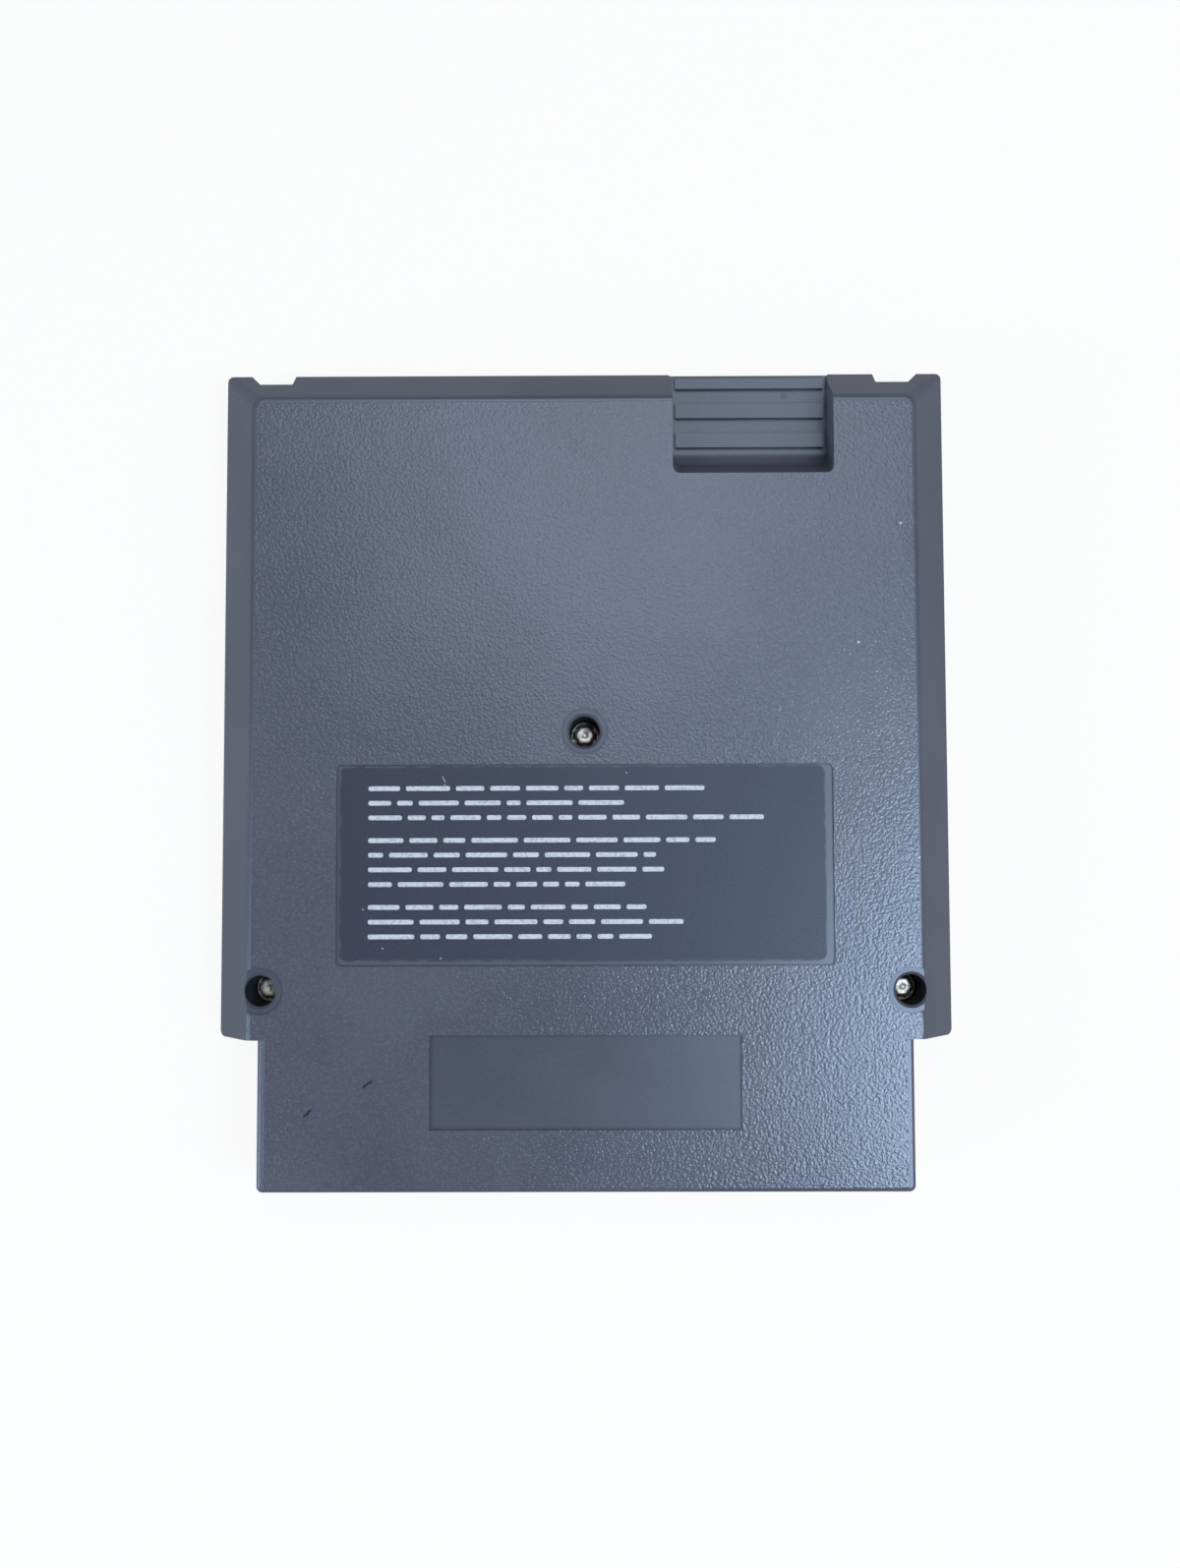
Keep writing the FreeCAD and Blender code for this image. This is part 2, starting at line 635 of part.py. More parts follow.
def lead_rows(x, y, count, rows):
    """Places (x, y, side) of the leads of a package centred on x, y, with count leads in each row."""
    first = x - (count - 1) * PIN_PITCH / 2
    return [(first + i * PIN_PITCH, y + side * rows / 2, side) for side in (-1, 1) for i in range(count)]


def chip_body(x, y, length, width):
    """Moulded body with leaning sides, a flat band where the leads leave it and an end notch."""
    z0 = BOARD_TOP_Z + CHIP_STANDOFF
    z1 = z0 + CHIP_HEIGHT
    mid = (z0 + z1) / 2
    full = rectangle(x - length / 2, x + length / 2, y - width / 2, y + width / 2)
    half_x = length / 2 - CHIP_DRAFT
    half_y = width / 2 - CHIP_DRAFT
    slim = rectangle(x - half_x, x + half_x, y - half_y, y + half_y)
    lower = taper(slim, z0, full, mid - CHIP_BAND / 2)
    band = slab(full, mid - CHIP_BAND / 2, mid + CHIP_BAND / 2)
    upper = taper(full, mid + CHIP_BAND / 2, slim, z1)
    end_x = x - length / 2
    half_n = CHIP_NOTCH / 2
    notch = box(end_x, end_x + CHIP_NOTCH, y - half_n, y + half_n, z1 - CHIP_NOTCH_DEPTH, z1 + BEYOND)
    return lower.fuse([band, upper]).cut(notch).removeSplitter()


def chip_lead(x, y, side, body_y):
    """Lead that leaves the body at body_y, turns down at y and passes through the board."""
    mid = BOARD_TOP_Z + CHIP_STANDOFF + CHIP_HEIGHT / 2
    half_t = LEAD_THICKNESS / 2
    x0 = x - LEAD_WIDTH / 2
    outer = y + side * half_t
    inner = y - side * half_t
    profile = [
        vec(x0, body_y, mid + half_t),
        vec(x0, outer, mid + half_t),
        vec(x0, outer, LEAD_END_Z),
        vec(x0, inner, LEAD_END_Z),
        vec(x0, inner, mid - half_t),
        vec(x0, body_y, mid - half_t),
    ]
    return prism(profile, vec(LEAD_WIDTH, 0, 0))


def chip_leads(x, y, count, rows, width):
    places = lead_rows(x, y, count, rows)
    leads = [chip_lead(px, py, side, y + side * width / 2) for px, py, side in places]
    return Part.makeCompound(leads)


def can_wire_places():
    return [(WIRE_END_X, TOP_ROW_Y + side * WIRE_SPACING / 2) for side in (-1, 1)]


def disc_wire_places():
    return [(sx * DISC_X, MEMORY_Y + sy * DISC_WIRE_SPACING / 2) for sx in (-1, 1) for sy in (-1, 1)]


def lead_places():
    """Places of all the holes in the board that take a lead or a wire."""
    rows = lead_rows(-MEMORY_X, MEMORY_Y, MEMORY_LEAD_COUNT, MEMORY_ROWS)
    rows += lead_rows(MEMORY_X, MEMORY_Y, MEMORY_LEAD_COUNT, MEMORY_ROWS)
    rows += lead_rows(LOCK_X, TOP_ROW_Y, LOCK_LEAD_COUNT, LOCK_ROWS)
    return [(x, y) for x, y, side in rows] + can_wire_places() + disc_wire_places()


def circuit_board():
    """Board with its contact tongue, hollows round the corner bosses and holes for pins and leads."""
    tongue = box(-HALF_TONGUE, HALF_TONGUE, BOARD_EDGE_Y, BOARD_TOP_Y, BOARD_Z, BOARD_TOP_Z)
    front_edges = [e for e in tongue.Edges if abs(e.BoundBox.YMax - BOARD_EDGE_Y) < TOUCH]
    long_edges = [e for e in front_edges if e.BoundBox.XLength > HALF_TONGUE]
    tongue = tongue.makeChamfer(BOARD_CHAMFER, long_edges)
    wide = box(-HALF_BOARD, HALF_BOARD, SCREW_Y, BOARD_TOP_Y, BOARD_Z, BOARD_TOP_Z)
    low = BOARD_Z - BEYOND
    high = BOARD_TOP_Z + BEYOND
    holes = [post(x, y, BOSS_R + BOARD_PLAY, low, high) for x, y in SCREW_PLACES]
    holes += [post(x, y, PIN_R + PIN_PLAY, low, high) for x, y in PIN_PLACES]
    half = LEAD_HOLE / 2
    holes += [box(x - half, x + half, y - half, y + half, low, high) for x, y in lead_places()]
    return tongue.fuse(wide).removeSplitter().cut(holes)


def contacts(z0):
    """Row of contacts on one face of the tongue."""
    half = CONTACT_PITCH * CONTACT_SHARE / 2
    y0 = BOARD_EDGE_Y + CONTACT_SETBACK
    row = []
    for i in range(CONTACTS):
        x = (i - (CONTACTS - 1) / 2) * CONTACT_PITCH
        row.append(box(x - half, x + half, y0, y0 + CONTACT_LENGTH, z0, z0 + CONTACT_THICKNESS))
    return Part.makeCompound(row)


def can_bar(radius, start, end):
    """Flat-sided bar on the axis of the supply capacitor, between two places along it."""
    points = [vec(CAN_X + start, TOP_ROW_Y + a, CAN_AXIS_Z + b) for a, b in ring(radius, CAN_SIDES)]
    return prism(points, vec(end - start, 0, 0))


def can_body():
    """Closed metal can with a crimp near its open end and a seat for the bung."""
    seat = CAN_LENGTH - BUNG_DEPTH
    body = can_bar(CAN_R, 0, seat - CAN_CRIMP_WIDTH)
    crimp = can_bar(CAN_R - CAN_CRIMP, seat - CAN_CRIMP_WIDTH, seat)
    end = can_bar(CAN_R, seat, CAN_LENGTH)
    return body.fuse([crimp, end]).cut(can_bung()).removeSplitter()


def can_sleeve():
    end = CAN_LENGTH - BUNG_DEPTH - CAN_CRIMP_WIDTH
    return can_bar(CAN_R + SLEEVE, 0, end).cut(can_bar(CAN_R, 0, end))


def can_bung():
    return can_bar(BUNG_R, CAN_LENGTH - BUNG_DEPTH, CAN_LENGTH)


def can_wire(x, y):
    """Wire that leaves the bung, bends down and passes through the board."""
    half = WIRE / 2
    start_x = CAN_X + CAN_LENGTH
    profile = [
        vec(start_x, y - half, CAN_AXIS_Z + half),
        vec(x - half, y - half, CAN_AXIS_Z + half),
        vec(x + half, y - half, CAN_AXIS_Z - half),
        vec(x + half, y - half, LEAD_END_Z),
        vec(x - half, y - half, LEAD_END_Z),
        vec(x - half, y - half, CAN_AXIS_Z - half),
        vec(start_x, y - half, CAN_AXIS_Z - half),
    ]
    return prism(profile, vec(0, WIRE, 0))


def can_wires():
    return Part.makeCompound([can_wire(x, y) for x, y in can_wire_places()])


def disc_body(x):
    """Dipped disc standing on edge between the memory chips."""
    x0 = x - DISC_THICKNESS / 2
    points = [vec(x0, MEMORY_Y + a, DISC_Z + b) for a, b in ring(DISC_R, DISC_SIDES)]
    disc = prism(points, vec(DISC_THICKNESS, 0, 0))
    rims = [e for e in disc.Edges if e.BoundBox.XLength < TOUCH]
    return disc.makeChamfer(DISC_CHAMFER, rims)


def disc_bodies():
    return Part.makeCompound([disc_body(side * DISC_X) for side in (-1, 1)])


def disc_wires():
    bodies = disc_bodies()
    half = WIRE / 2
    wires = []
    for x, y in disc_wire_places():
        wire = box(x - half, x + half, y - half, y + half, LEAD_END_Z, DISC_Z)
        wires.append(wire.cut(bodies))
    return Part.makeCompound(wires)


def export(node, shape):
    shape.translate(vec(0, -HEIGHT / 2, 0))
    shape.exportStep("parts/" + node + ".step")


os.makedirs("parts", exist_ok=True)
export("rear_shell", rear_shell())
export("front_shell", front_shell())
export("case_screws", case_screws())
export("rear_sticker", rear_sticker())
export("circuit_board", circuit_board())
export("contacts_rear", contacts(BOARD_TOP_Z))
export("contacts_front", contacts(BOARD_Z - CONTACT_THICKNESS))
export("program_chip", chip_body(-MEMORY_X, MEMORY_Y, MEMORY_LENGTH, MEMORY_WIDTH))
export("program_chip_leads", chip_leads(-MEMORY_X, MEMORY_Y, MEMORY_LEAD_COUNT, MEMORY_ROWS, MEMORY_WIDTH))
export("picture_chip", chip_body(MEMORY_X, MEMORY_Y, MEMORY_LENGTH, MEMORY_WIDTH))
export("picture_chip_leads", chip_leads(MEMORY_X, MEMORY_Y, MEMORY_LEAD_COUNT, MEMORY_ROWS, MEMORY_WIDTH))
export("lock_chip", chip_body(LOCK_X, TOP_ROW_Y, LOCK_LENGTH, LOCK_WIDTH))
export("lock_chip_leads", chip_leads(LOCK_X, TOP_ROW_Y, LOCK_LEAD_COUNT, LOCK_ROWS, LOCK_WIDTH))
export("supply_can", can_body())
export("supply_sleeve", can_sleeve())
export("supply_bung", can_bung())
export("supply_wires", can_wires())
export("disc_capacitors", disc_bodies())
export("disc_capacitor_wires", disc_wires())
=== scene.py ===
import math
import random

import bmesh
import bpy
from mathutils import Matrix, Vector


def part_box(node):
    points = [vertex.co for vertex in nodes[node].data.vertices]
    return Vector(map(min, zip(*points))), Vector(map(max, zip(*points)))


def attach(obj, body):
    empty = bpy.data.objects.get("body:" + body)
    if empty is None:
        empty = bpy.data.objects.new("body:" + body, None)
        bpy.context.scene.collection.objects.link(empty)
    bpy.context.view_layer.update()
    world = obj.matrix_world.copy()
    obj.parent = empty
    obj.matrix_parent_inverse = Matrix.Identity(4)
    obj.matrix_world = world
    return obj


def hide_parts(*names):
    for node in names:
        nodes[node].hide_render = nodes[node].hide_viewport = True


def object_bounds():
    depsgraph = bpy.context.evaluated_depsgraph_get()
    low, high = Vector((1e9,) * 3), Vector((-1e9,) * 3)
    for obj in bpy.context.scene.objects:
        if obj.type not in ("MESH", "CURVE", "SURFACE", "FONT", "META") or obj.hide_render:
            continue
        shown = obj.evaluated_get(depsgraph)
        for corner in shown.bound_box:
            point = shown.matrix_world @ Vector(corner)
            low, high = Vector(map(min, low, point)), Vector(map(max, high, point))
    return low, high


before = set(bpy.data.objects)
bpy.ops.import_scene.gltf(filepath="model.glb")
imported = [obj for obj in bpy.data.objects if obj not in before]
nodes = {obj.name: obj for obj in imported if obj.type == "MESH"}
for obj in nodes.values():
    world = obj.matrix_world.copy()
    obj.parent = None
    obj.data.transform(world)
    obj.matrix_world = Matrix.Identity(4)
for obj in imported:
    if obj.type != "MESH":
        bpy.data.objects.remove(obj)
cad_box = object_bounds()

# A grey game cartridge lying on its front face, seen from above its rear face.
# Metres, in the frame of the part: X across, Y from the mouth to the top edge, Z up.

MM = 0.001


def srgb(red, green, blue):
    """Linear colour of a screen colour given in steps of 255, by the sRGB curve."""
    steps = [value / 255 for value in (red, green, blue)]
    return [s / 12.92 if s <= 0.04045 else ((s + 0.055) / 1.055) ** 2.4 for s in steps] + [1.0]


# Case, from the frame
case_low, case_high = cad_box
HALF_WIDTH = case_high.x
TOP_Y = case_high.y
TOP_Z = case_high.z

# Spans of a noise over which one colour or tone turns into another
NOISE_SPAN = (0.3, 0.7)
PATCH_SPAN = (0.35, 0.7)

# Grained fields of the two faces, inside the smooth border
BODY_FIELD_INSET = 6.45 * MM
NECK_FIELD_INSET = 8.8 * MM
TOP_FIELD_INSET = 6.8 * MM
NECK_TOP_Y = case_low.y + 24.0 * MM
FIELD_BLEND = 0.12 * MM
FIELD_STEP = 0.018 * MM
FACE_DEPTH = 0.08 * MM

# Relief of the plastic: cells and a finer grain in the fields, satin all over
GRAIN_SIZE = 0.5 * MM
GRAIN_HEIGHT = 0.035 * MM
GRAIN_WARP = 0.35 * MM
CELL_SMOOTHNESS = 0.6
FINE_SIZE = 0.3 * MM
FINE_HEIGHT = 0.035 * MM
SATIN_SIZE = 0.12 * MM
SATIN_HEIGHT = 0.0015 * MM

# Gloss of the plastic. A level is 1 on a flat lying face and 0 on an upright wall.
PLASTIC_IOR = 1.58
REFLECTION_TINT = (0.67, 0.82, 1.0, 1.0)
FIELD_ROUGHNESS = 0.2
SMOOTH_ROUGHNESS = 0.28
BORDER_ROUGHNESS = 0.6
BORDER_LEVELS = (0.75, 0.98)
WELL_ROUGHNESS = 0.7

# Tone of the plastic, from its darker colour at 0 to its paler one at 1; the peak, crest and wall
# tones are painted light and shade
PLASTIC_DARK = srgb(60, 62, 73)
PLASTIC_LIGHT = srgb(83, 85, 98)
BLOTCH_SIZE = 22.0 * MM
BLOTCH_TONE = 0.3
SPECKLE_TONE = 0.2
PEAK_SPAN = (0.5, 0.1)
PEAK_LIGHT_TONES = (0.3, 0.75)
CREST_HIGHLIGHT_TONE = 0.75
WALL_LIGHT_TONE = 0.6
WALL_LIGHT_LEVELS = (0.35, 0.15)

# Painted shade in the corners, a dark line along the parting of the shells, and the painted dark of
# the wells
PLASTIC_SHADE_AND_DIRT = srgb(22, 22, 26)
SHADE_REACH = 0.7 * MM
SHADE_SAMPLES = 6
SHADE_OPENNESS = (0.95, 0.75)
SHADE_LEVELS = (0.3, 0.95)
SHADE_SHARE = 0.33
PARTING_Z = 8.5 * MM
PARTING_GRIME = 0.13 * MM
PARTING_SHARE = 0.85
WELL_PAINTED_SHADE = srgb(6, 7, 9)
WELL_R = 2.47 * MM
WELL_REACH = 1.06 * WELL_R
WELL_SHADE_DEPTHS = (0.62 * MM, 0.806 * MM)

# Marks of wear on the rear shell, placed in millimetres
NICKS = [((-35.4, -50.5), (-33.5, -49.1)), ((-44.8, -55.2), (-43.1, -53.6))]
NICK_WIDTH = 0.55 * MM
NICK_BROWN = srgb(43, 34, 30)
SPECKS = [(51.36, 39.91), (53.53, -14.23), (44.3, 20.5)]
SPECK_R = 0.3 * MM
SPECK_PALE = srgb(176, 182, 192)
SPECK_SHARE = 0.7
SMUDGE = (33.4, 63.2)
SMUDGE_R = 0.8 * MM
SMUDGE_SHARE = 0.45
WEAR_DEPTHS = (0.6 * MM, 0.3 * MM)

# Where a drawn mark is full: shares of a line's width and length and of a spot's radius
LINE_CORE = 1 / 3
LINE_FULL_LENGTH = 0.5
SPOT_CORE = 0.4

# Sticker, which lies a little off the middle of its recess, and the ledge round it, painted paler as
# light
sticker_low, sticker_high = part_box("rear_sticker")
STICKER_SHIFT = Vector((-0.35, 0.25, 0.0)) * MM
RECESS_MARGIN = Vector((0.9, 0.5, 0.0)) * MM
recess_low = sticker_low - STICKER_SHIFT - RECESS_MARGIN
recess_high = sticker_high - STICKER_SHIFT + RECESS_MARGIN
LEDGE_LINE = 0.14 * MM
LEDGE_LIGHT_SHARE = 0.6
STICKER_NAVY = srgb(37, 37, 51)
STICKER_NAVY_LIGHT = srgb(46, 46, 63)
STICKER_EDGE = srgb(86, 90, 106)
STICKER_ROUGHNESS = 0.42
STICKER_MOTTLE = 0.3 * MM
STICKER_RELIEF = 0.006 * MM
STICKER_RIM = 0.4 * MM
RUB_SIZE = 2.5 * MM
RUB_SPAN = (0.4, 0.65)
RUB_SHARES = (0.1, 0.7)
CREASE = [(-22.9, -0.9), (-22.35, -2.1), (-23.0, -3.5)]
CREASE_WIDTH = 0.24 * MM
STICKER_SPECKS = [(6.73, -0.51), (-35.55, -22.3), (-32.36, -28.57), (-23.08, -30.16)]
STICKER_SPECK_R = 0.2 * MM
STICKER_WEAR_SHARE = 0.55

# Plain print on the sticker
PRINT_MARGIN_X = 4.6 * MM
PRINT_MARGIN_TOP = 3.6 * MM
PRINT_ROW = 2.35 * MM
PRINT_BLOCK_GAP = 1.3 * MM
PRINT_BLOCKS = (3, 4, 3)
PRINT_BAR_HEIGHT = 0.75 * MM
PRINT_BAR_WIDTHS = (2.0 * MM, 7.5 * MM)
PRINT_BAR_GAP = 0.95 * MM
PRINT_BAR_ROUND = 0.28 * MM
PRINT_CORNER_STEPS = 3
PRINT_PROUD = 0.012 * MM
PRINT_SUNK = 0.01 * MM
PRINT_ROW_SHARES = (0.55, 1.0)
PRINT_SEED = 11
INK_PALE = srgb(180, 185, 195)
INK_THIN = srgb(146, 152, 166)
INK_ROUGHNESS = 0.5
INK_PATCH = 0.5 * MM
INK_THIN_SPAN = (0.45, 0.7)

# Screws, placed from the frame
FLANGE_R = 2.32 * MM
screw_low, screw_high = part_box("case_screws")
SCREW_X = screw_high.x - FLANGE_R
SCREW_Y = screw_low.y + FLANGE_R
CENTRE_SCREW_Y = screw_high.y - FLANGE_R
SCREW_PLACES = [(-SCREW_X, SCREW_Y), (SCREW_X, SCREW_Y), (0.0, CENTRE_SCREW_Y)]
HEAD_R = 1.9 * MM
HEAD_HEIGHT = 1.6 * MM
FLANGE = 0.6 * MM
HEAD_EDGE = 0.12 * MM
HEAD_ROUND = 0.8 * MM
HEAD_ROUND_RINGS = 6
HEAD_GROOVES = 6
HEAD_GROOVE = 0.5 * MM
HEAD_GROOVE_SPREAD = 0.19
HEAD_STEPS = 72
DIMPLE_R = 0.5 * MM
DIMPLE_DEPTH = 0.12 * MM
DIMPLE_PROFILE = [(1.25, 0.0), (1.0, 0.25), (0.7, 0.75), (0.3, 1.0)]
SHANK_R = 1.24 * MM
SHANK_STEPS = 24
SHANK_TIP_SHARE = 0.75
THREAD_DEPTH = 0.26 * MM
THREAD_PITCH = 1.0 * MM
THREAD_ROWS = 8
THREAD_SLOPE = 3

# Circuit board, with tracks that carry on from the contacts
CONTACT_GAPS = 35
CONTACT_SHARE = 0.66
TRACK_HALVES = (0.16, 0.12)
TRACK_STRETCH = (1, 0.3, 1)
TRACK_RUN = 9.0 * MM
TRACK_LIMIT = 0.45
TRACK_SHARE = 0.8
TRACK_HEIGHT = 0.02 * MM
WEAVE_STRETCH = (1, 6, 1)
WEAVE_SIZE = 1.2 * MM
WEAVE_HEIGHT = 0.004 * MM
BOARD_EDGE_SHARES = (0.97, 0.9)
BOARD_ROUGHNESS = 0.35
BOARD_GREEN = srgb(48, 92, 58)
BOARD_GREEN_DARK = srgb(38, 78, 48)
BOARD_TRACK = srgb(70, 120, 72)
BOARD_EDGE = srgb(168, 150, 104)

# Sleeve of the supply capacitor, with a stripe at an angle from its top
SLEEVE_BLUE = srgb(38, 48, 96)
SLEEVE_BLUE_DARK = srgb(28, 36, 76)
SLEEVE_ROUGHNESS = 0.22
SLEEVE_SHADE_SIZE = 1.5 * MM
SLEEVE_RELIEF_SIZE = 0.8 * MM
SLEEVE_RELIEF = 0.01 * MM
STRIPE_PALE = srgb(150, 156, 176)
STRIPE_TURN = 0.7
STRIPE_HALVES = (0.32, 0.28)

# Metals: bright and dull colour, roughness where bright, and stretch of the drawn streaks
METALS = {
    "screw_steel": (srgb(222, 220, 214), srgb(172, 169, 162), 0.38, (1, 1, 1)),
    "tinned_lead": (srgb(214, 214, 212), srgb(172, 172, 170), 0.3, (1, 1, 0.2)),
    "contact_metal": (srgb(226, 196, 118), srgb(186, 150, 80), 0.24, (1, 0.1, 1)),
    "can_metal": (srgb(224, 224, 226), srgb(186, 187, 190), 0.25, (0.1, 1, 1)),
}
STREAK_SIZE = 0.2 * MM
STREAK_HEIGHT = 0.002 * MM
DULL_SIZE = 1.2 * MM
DULL_ROUGHNESS = 0.14

# Coatings: two colours, roughness, and size and height of the speckle
COATINGS = {
    "chip_resin": (srgb(40, 40, 43), srgb(28, 28, 31), 0.55, 0.15 * MM, 0.006 * MM),
    "bung_rubber": (srgb(38, 37, 37), srgb(24, 24, 24), 0.7, 0.25 * MM, 0.01 * MM),
    "disc_coating": (srgb(192, 128, 60), srgb(164, 100, 44), 0.3, 0.9 * MM, 0.02 * MM),
}

# Solids of the frame: finish, and width of the rounded edges, 0 where they stay as they are
DRESSING = {
    "rear_shell": ("rear_plastic", 0.16 * MM),
    "front_shell": ("front_plastic", 0.16 * MM),
    "rear_sticker": ("sticker_film", 0.05 * MM),
    "circuit_board": ("board_laminate", 0.0),
    "contacts_rear": ("contact_metal", 0.0),
    "contacts_front": ("contact_metal", 0.0),
    "program_chip": ("chip_resin", 0.12 * MM),
    "program_chip_leads": ("tinned_lead", 0.06 * MM),
    "picture_chip": ("chip_resin", 0.12 * MM),
    "picture_chip_leads": ("tinned_lead", 0.06 * MM),
    "lock_chip": ("chip_resin", 0.12 * MM),
    "lock_chip_leads": ("tinned_lead", 0.06 * MM),
    "supply_can": ("can_metal", 0.1 * MM),
    "supply_sleeve": ("sleeve_film", 0.0),
    "supply_bung": ("bung_rubber", 0.1 * MM),
    "supply_wires": ("tinned_lead", 0.15 * MM),
    "disc_capacitors": ("disc_coating", 0.3 * MM),
    "disc_capacitor_wires": ("tinned_lead", 0.15 * MM),
}
EDGE_SEGMENTS = 2
BEVEL_ANGLE = math.radians(33)
SHARP_ANGLE = math.radians(40)
FLAT_ANGLE = math.radians(0.4)
WELD_REACH = 0.001 * MM

# Floor and sky
FLOOR_SIZE = 6.0
FLOOR_GAP = 0.02 * MM
FLOOR_COLOUR = srgb(208, 208, 210)
FLOOR_ROUGHNESS = 0.9
FLOOR_GLOW = 0.9
SEEN_RAYS = ("Is Camera Ray", "Is Glossy Ray", "Is Transmission Ray")
HORIZON = (0.62, 0.63, 0.65, 1.0)
OVERHEAD = (0.22, 0.22, 0.23, 1.0)
HORIZON_HEIGHTS = (0.02, 0.2)

# Lamps, turned to the origin: place, width, power in watts and colour
LAMPS = {
    "window": ((0.375, -0.155, 0.82), 0.42, 6.2, (0.78, 0.89, 1.0)),
    "ceiling": ((0.05, 0.3, 0.9), 0.5, 1.75, (1.0, 1.0, 1.0)),
    "left": ((-0.52, -0.2, 0.75), 0.28, 0.9, (0.92, 0.97, 1.0)),
    "low_left": ((-0.7, -0.25, 0.3), 0.3, 2.8, (0.75, 0.88, 1.0)),
    "right": ((0.78, -0.14, 0.66), 0.4, 1.3, (0.85, 0.93, 1.0)),
}

# Camera, fitted to the outline of the cartridge in the photograph
PHOTO_HEIGHT = 1595
FOCAL_PIXELS = 1520.5
SENSOR = 36.0
CLIP_START = 0.01
CAMERA_TILT = math.radians(-3.363)
CAMERA_YAW = math.radians(-0.307)
CAMERA_ROLL = math.radians(0.166)
CAMERA_OFFSET = Vector((-0.83, 1.81, -248.77)) * MM


class Tree:
    """A node tree: its methods add nodes and give back their output sockets."""

    def __init__(self, tree):
        self.tree = tree

    def put(self, socket, value):
        """Links an input to an output socket, or sets it to a plain value."""
        if isinstance(value, bpy.types.NodeSocket):
            self.tree.links.new(value, socket)
        else:
            socket.default_value = value

    def add(self, kind, inputs, output=0, **settings):
        """Adds a node with its inputs and settings, and gives back one of its outputs."""
        node = self.tree.nodes.new(kind)
        for name, value in settings.items():
            setattr(node, name, value)
        for key, value in inputs.items():
            self.put(node.inputs[key], value)
        return node.outputs[output] if node.outputs else None

    def math(self, operation, a, b=0.0):
        return self.add("ShaderNodeMath", {0: a, 1: b}, operation=operation)

    def chain(self, operation, values):
        """One value from several, taken in turn."""
        total = values[0]
        for value in values[1:]:
            total = self.math(operation, total, value)
        return total

    def times(self, *values):
        return self.chain("MULTIPLY", values)

    def plus(self, *values):
        return self.chain("ADD", values)

    def largest(self, *values):
        return self.chain("MAXIMUM", values)

    def minus(self, a, b):
        return self.math("SUBTRACT", a, b)

    def off(self, value, middle):
        """How far a value is from a middle, on either side."""
        return self.math("ABSOLUTE", self.minus(value, middle))

    def ramp(self, value, start, end, low=0.0, high=1.0):
        """Smooth step from low at start to high at end."""
        inputs = {"Value": value, "From Min": start, "From Max": end, "To Min": low, "To Max": high}
        return self.add("ShaderNodeMapRange", inputs, interpolation_type="SMOOTHSTEP")

    def mix(self, factor, a, b):
        return self.add("ShaderNodeMix", {0: factor, 6: a, 7: b}, output=2, data_type="RGBA")

    def place(self):
        """Place on the part."""
        return self.add("ShaderNodeTexCoord", {}, output="Object")

    def split(self, vector):
        """The three coordinates of a vector."""
        node = self.tree.nodes.new("ShaderNodeSeparateXYZ")
        self.put(node.inputs[0], vector)
        return list(node.outputs)

    def noise(self, place, size, detail=2.0, output="Fac"):
        inputs = {"Vector": place, "Scale": 1 / size, "Detail": detail}
        return self.add("ShaderNodeTexNoise", inputs, output=output)

    def stretched(self, place, scale):
        return self.add("ShaderNodeVectorMath", {0: place, 1: scale}, operation="MULTIPLY")

    def cells(self, place, size):
        inputs = {"Vector": place, "Scale": 1 / size, "Smoothness": CELL_SMOOTHNESS}
        return self.add("ShaderNodeTexVoronoi", inputs, output="Distance", feature="SMOOTH_F1")

    def line(self, x, y, start, end, width):
        """1 along the thin line between two places, fading towards its sides and ends."""
        middle = (start + end) / 2
        run = end - start
        half_length = run.length / 2
        half_width = width / 2
        run.normalize()
        dx = self.minus(x, middle.x)
        dy = self.minus(y, middle.y)
        along = self.plus(self.times(dx, run.x), self.times(dy, run.y))
        across = self.plus(self.times(dy, run.x), self.times(dx, -run.y))
        sides = self.ramp(self.math("ABSOLUTE", across), half_width, half_width * LINE_CORE)
        ends = self.ramp(self.math("ABSOLUTE", along), half_length, half_length * LINE_FULL_LENGTH)
        return self.times(sides, ends)

    def spot(self, x, y, middle, radius):
        """1 on a small round spot, fading towards its rim."""
        dx = self.minus(x, middle[0])
        dy = self.minus(y, middle[1])
        reach = self.math("SQRT", self.plus(self.times(dx, dx), self.times(dy, dy)))
        return self.ramp(reach, radius, radius * SPOT_CORE)

    def off_box(self, x, y, low, high):
        """How far a place lies outside a box seen from above, negative inside it."""
        middle = (low + high) / 2
        half = (high - low) / 2
        past_x = self.minus(self.off(x, middle.x), half.x)
        past_y = self.minus(self.off(y, middle.y), half.y)
        return self.largest(past_x, past_y)


class Finish(Tree):
    """A material with one surface shader."""

    def __init__(self, name, sockets):
        self.material = bpy.data.materials.new(name)
        self.material.use_nodes = True
        super().__init__(self.material.node_tree)
        self.surface = self.tree.nodes["Principled BSDF"]
        for socket, value in sockets.items():
            self.set(socket, value)

    def set(self, socket, value):
        self.put(self.surface.inputs[socket], value)

    def bump(self, height):
        """Relief whose height is given in metres."""
        inputs = {"Height": height, "Distance": 1.0, "Strength": 1.0}
        self.set("Normal", self.add("ShaderNodeBump", inputs, output="Normal"))


def scaled(points):
    """Places in metres, from places given in millimetres."""
    return [Vector(point) * MM for point in points]


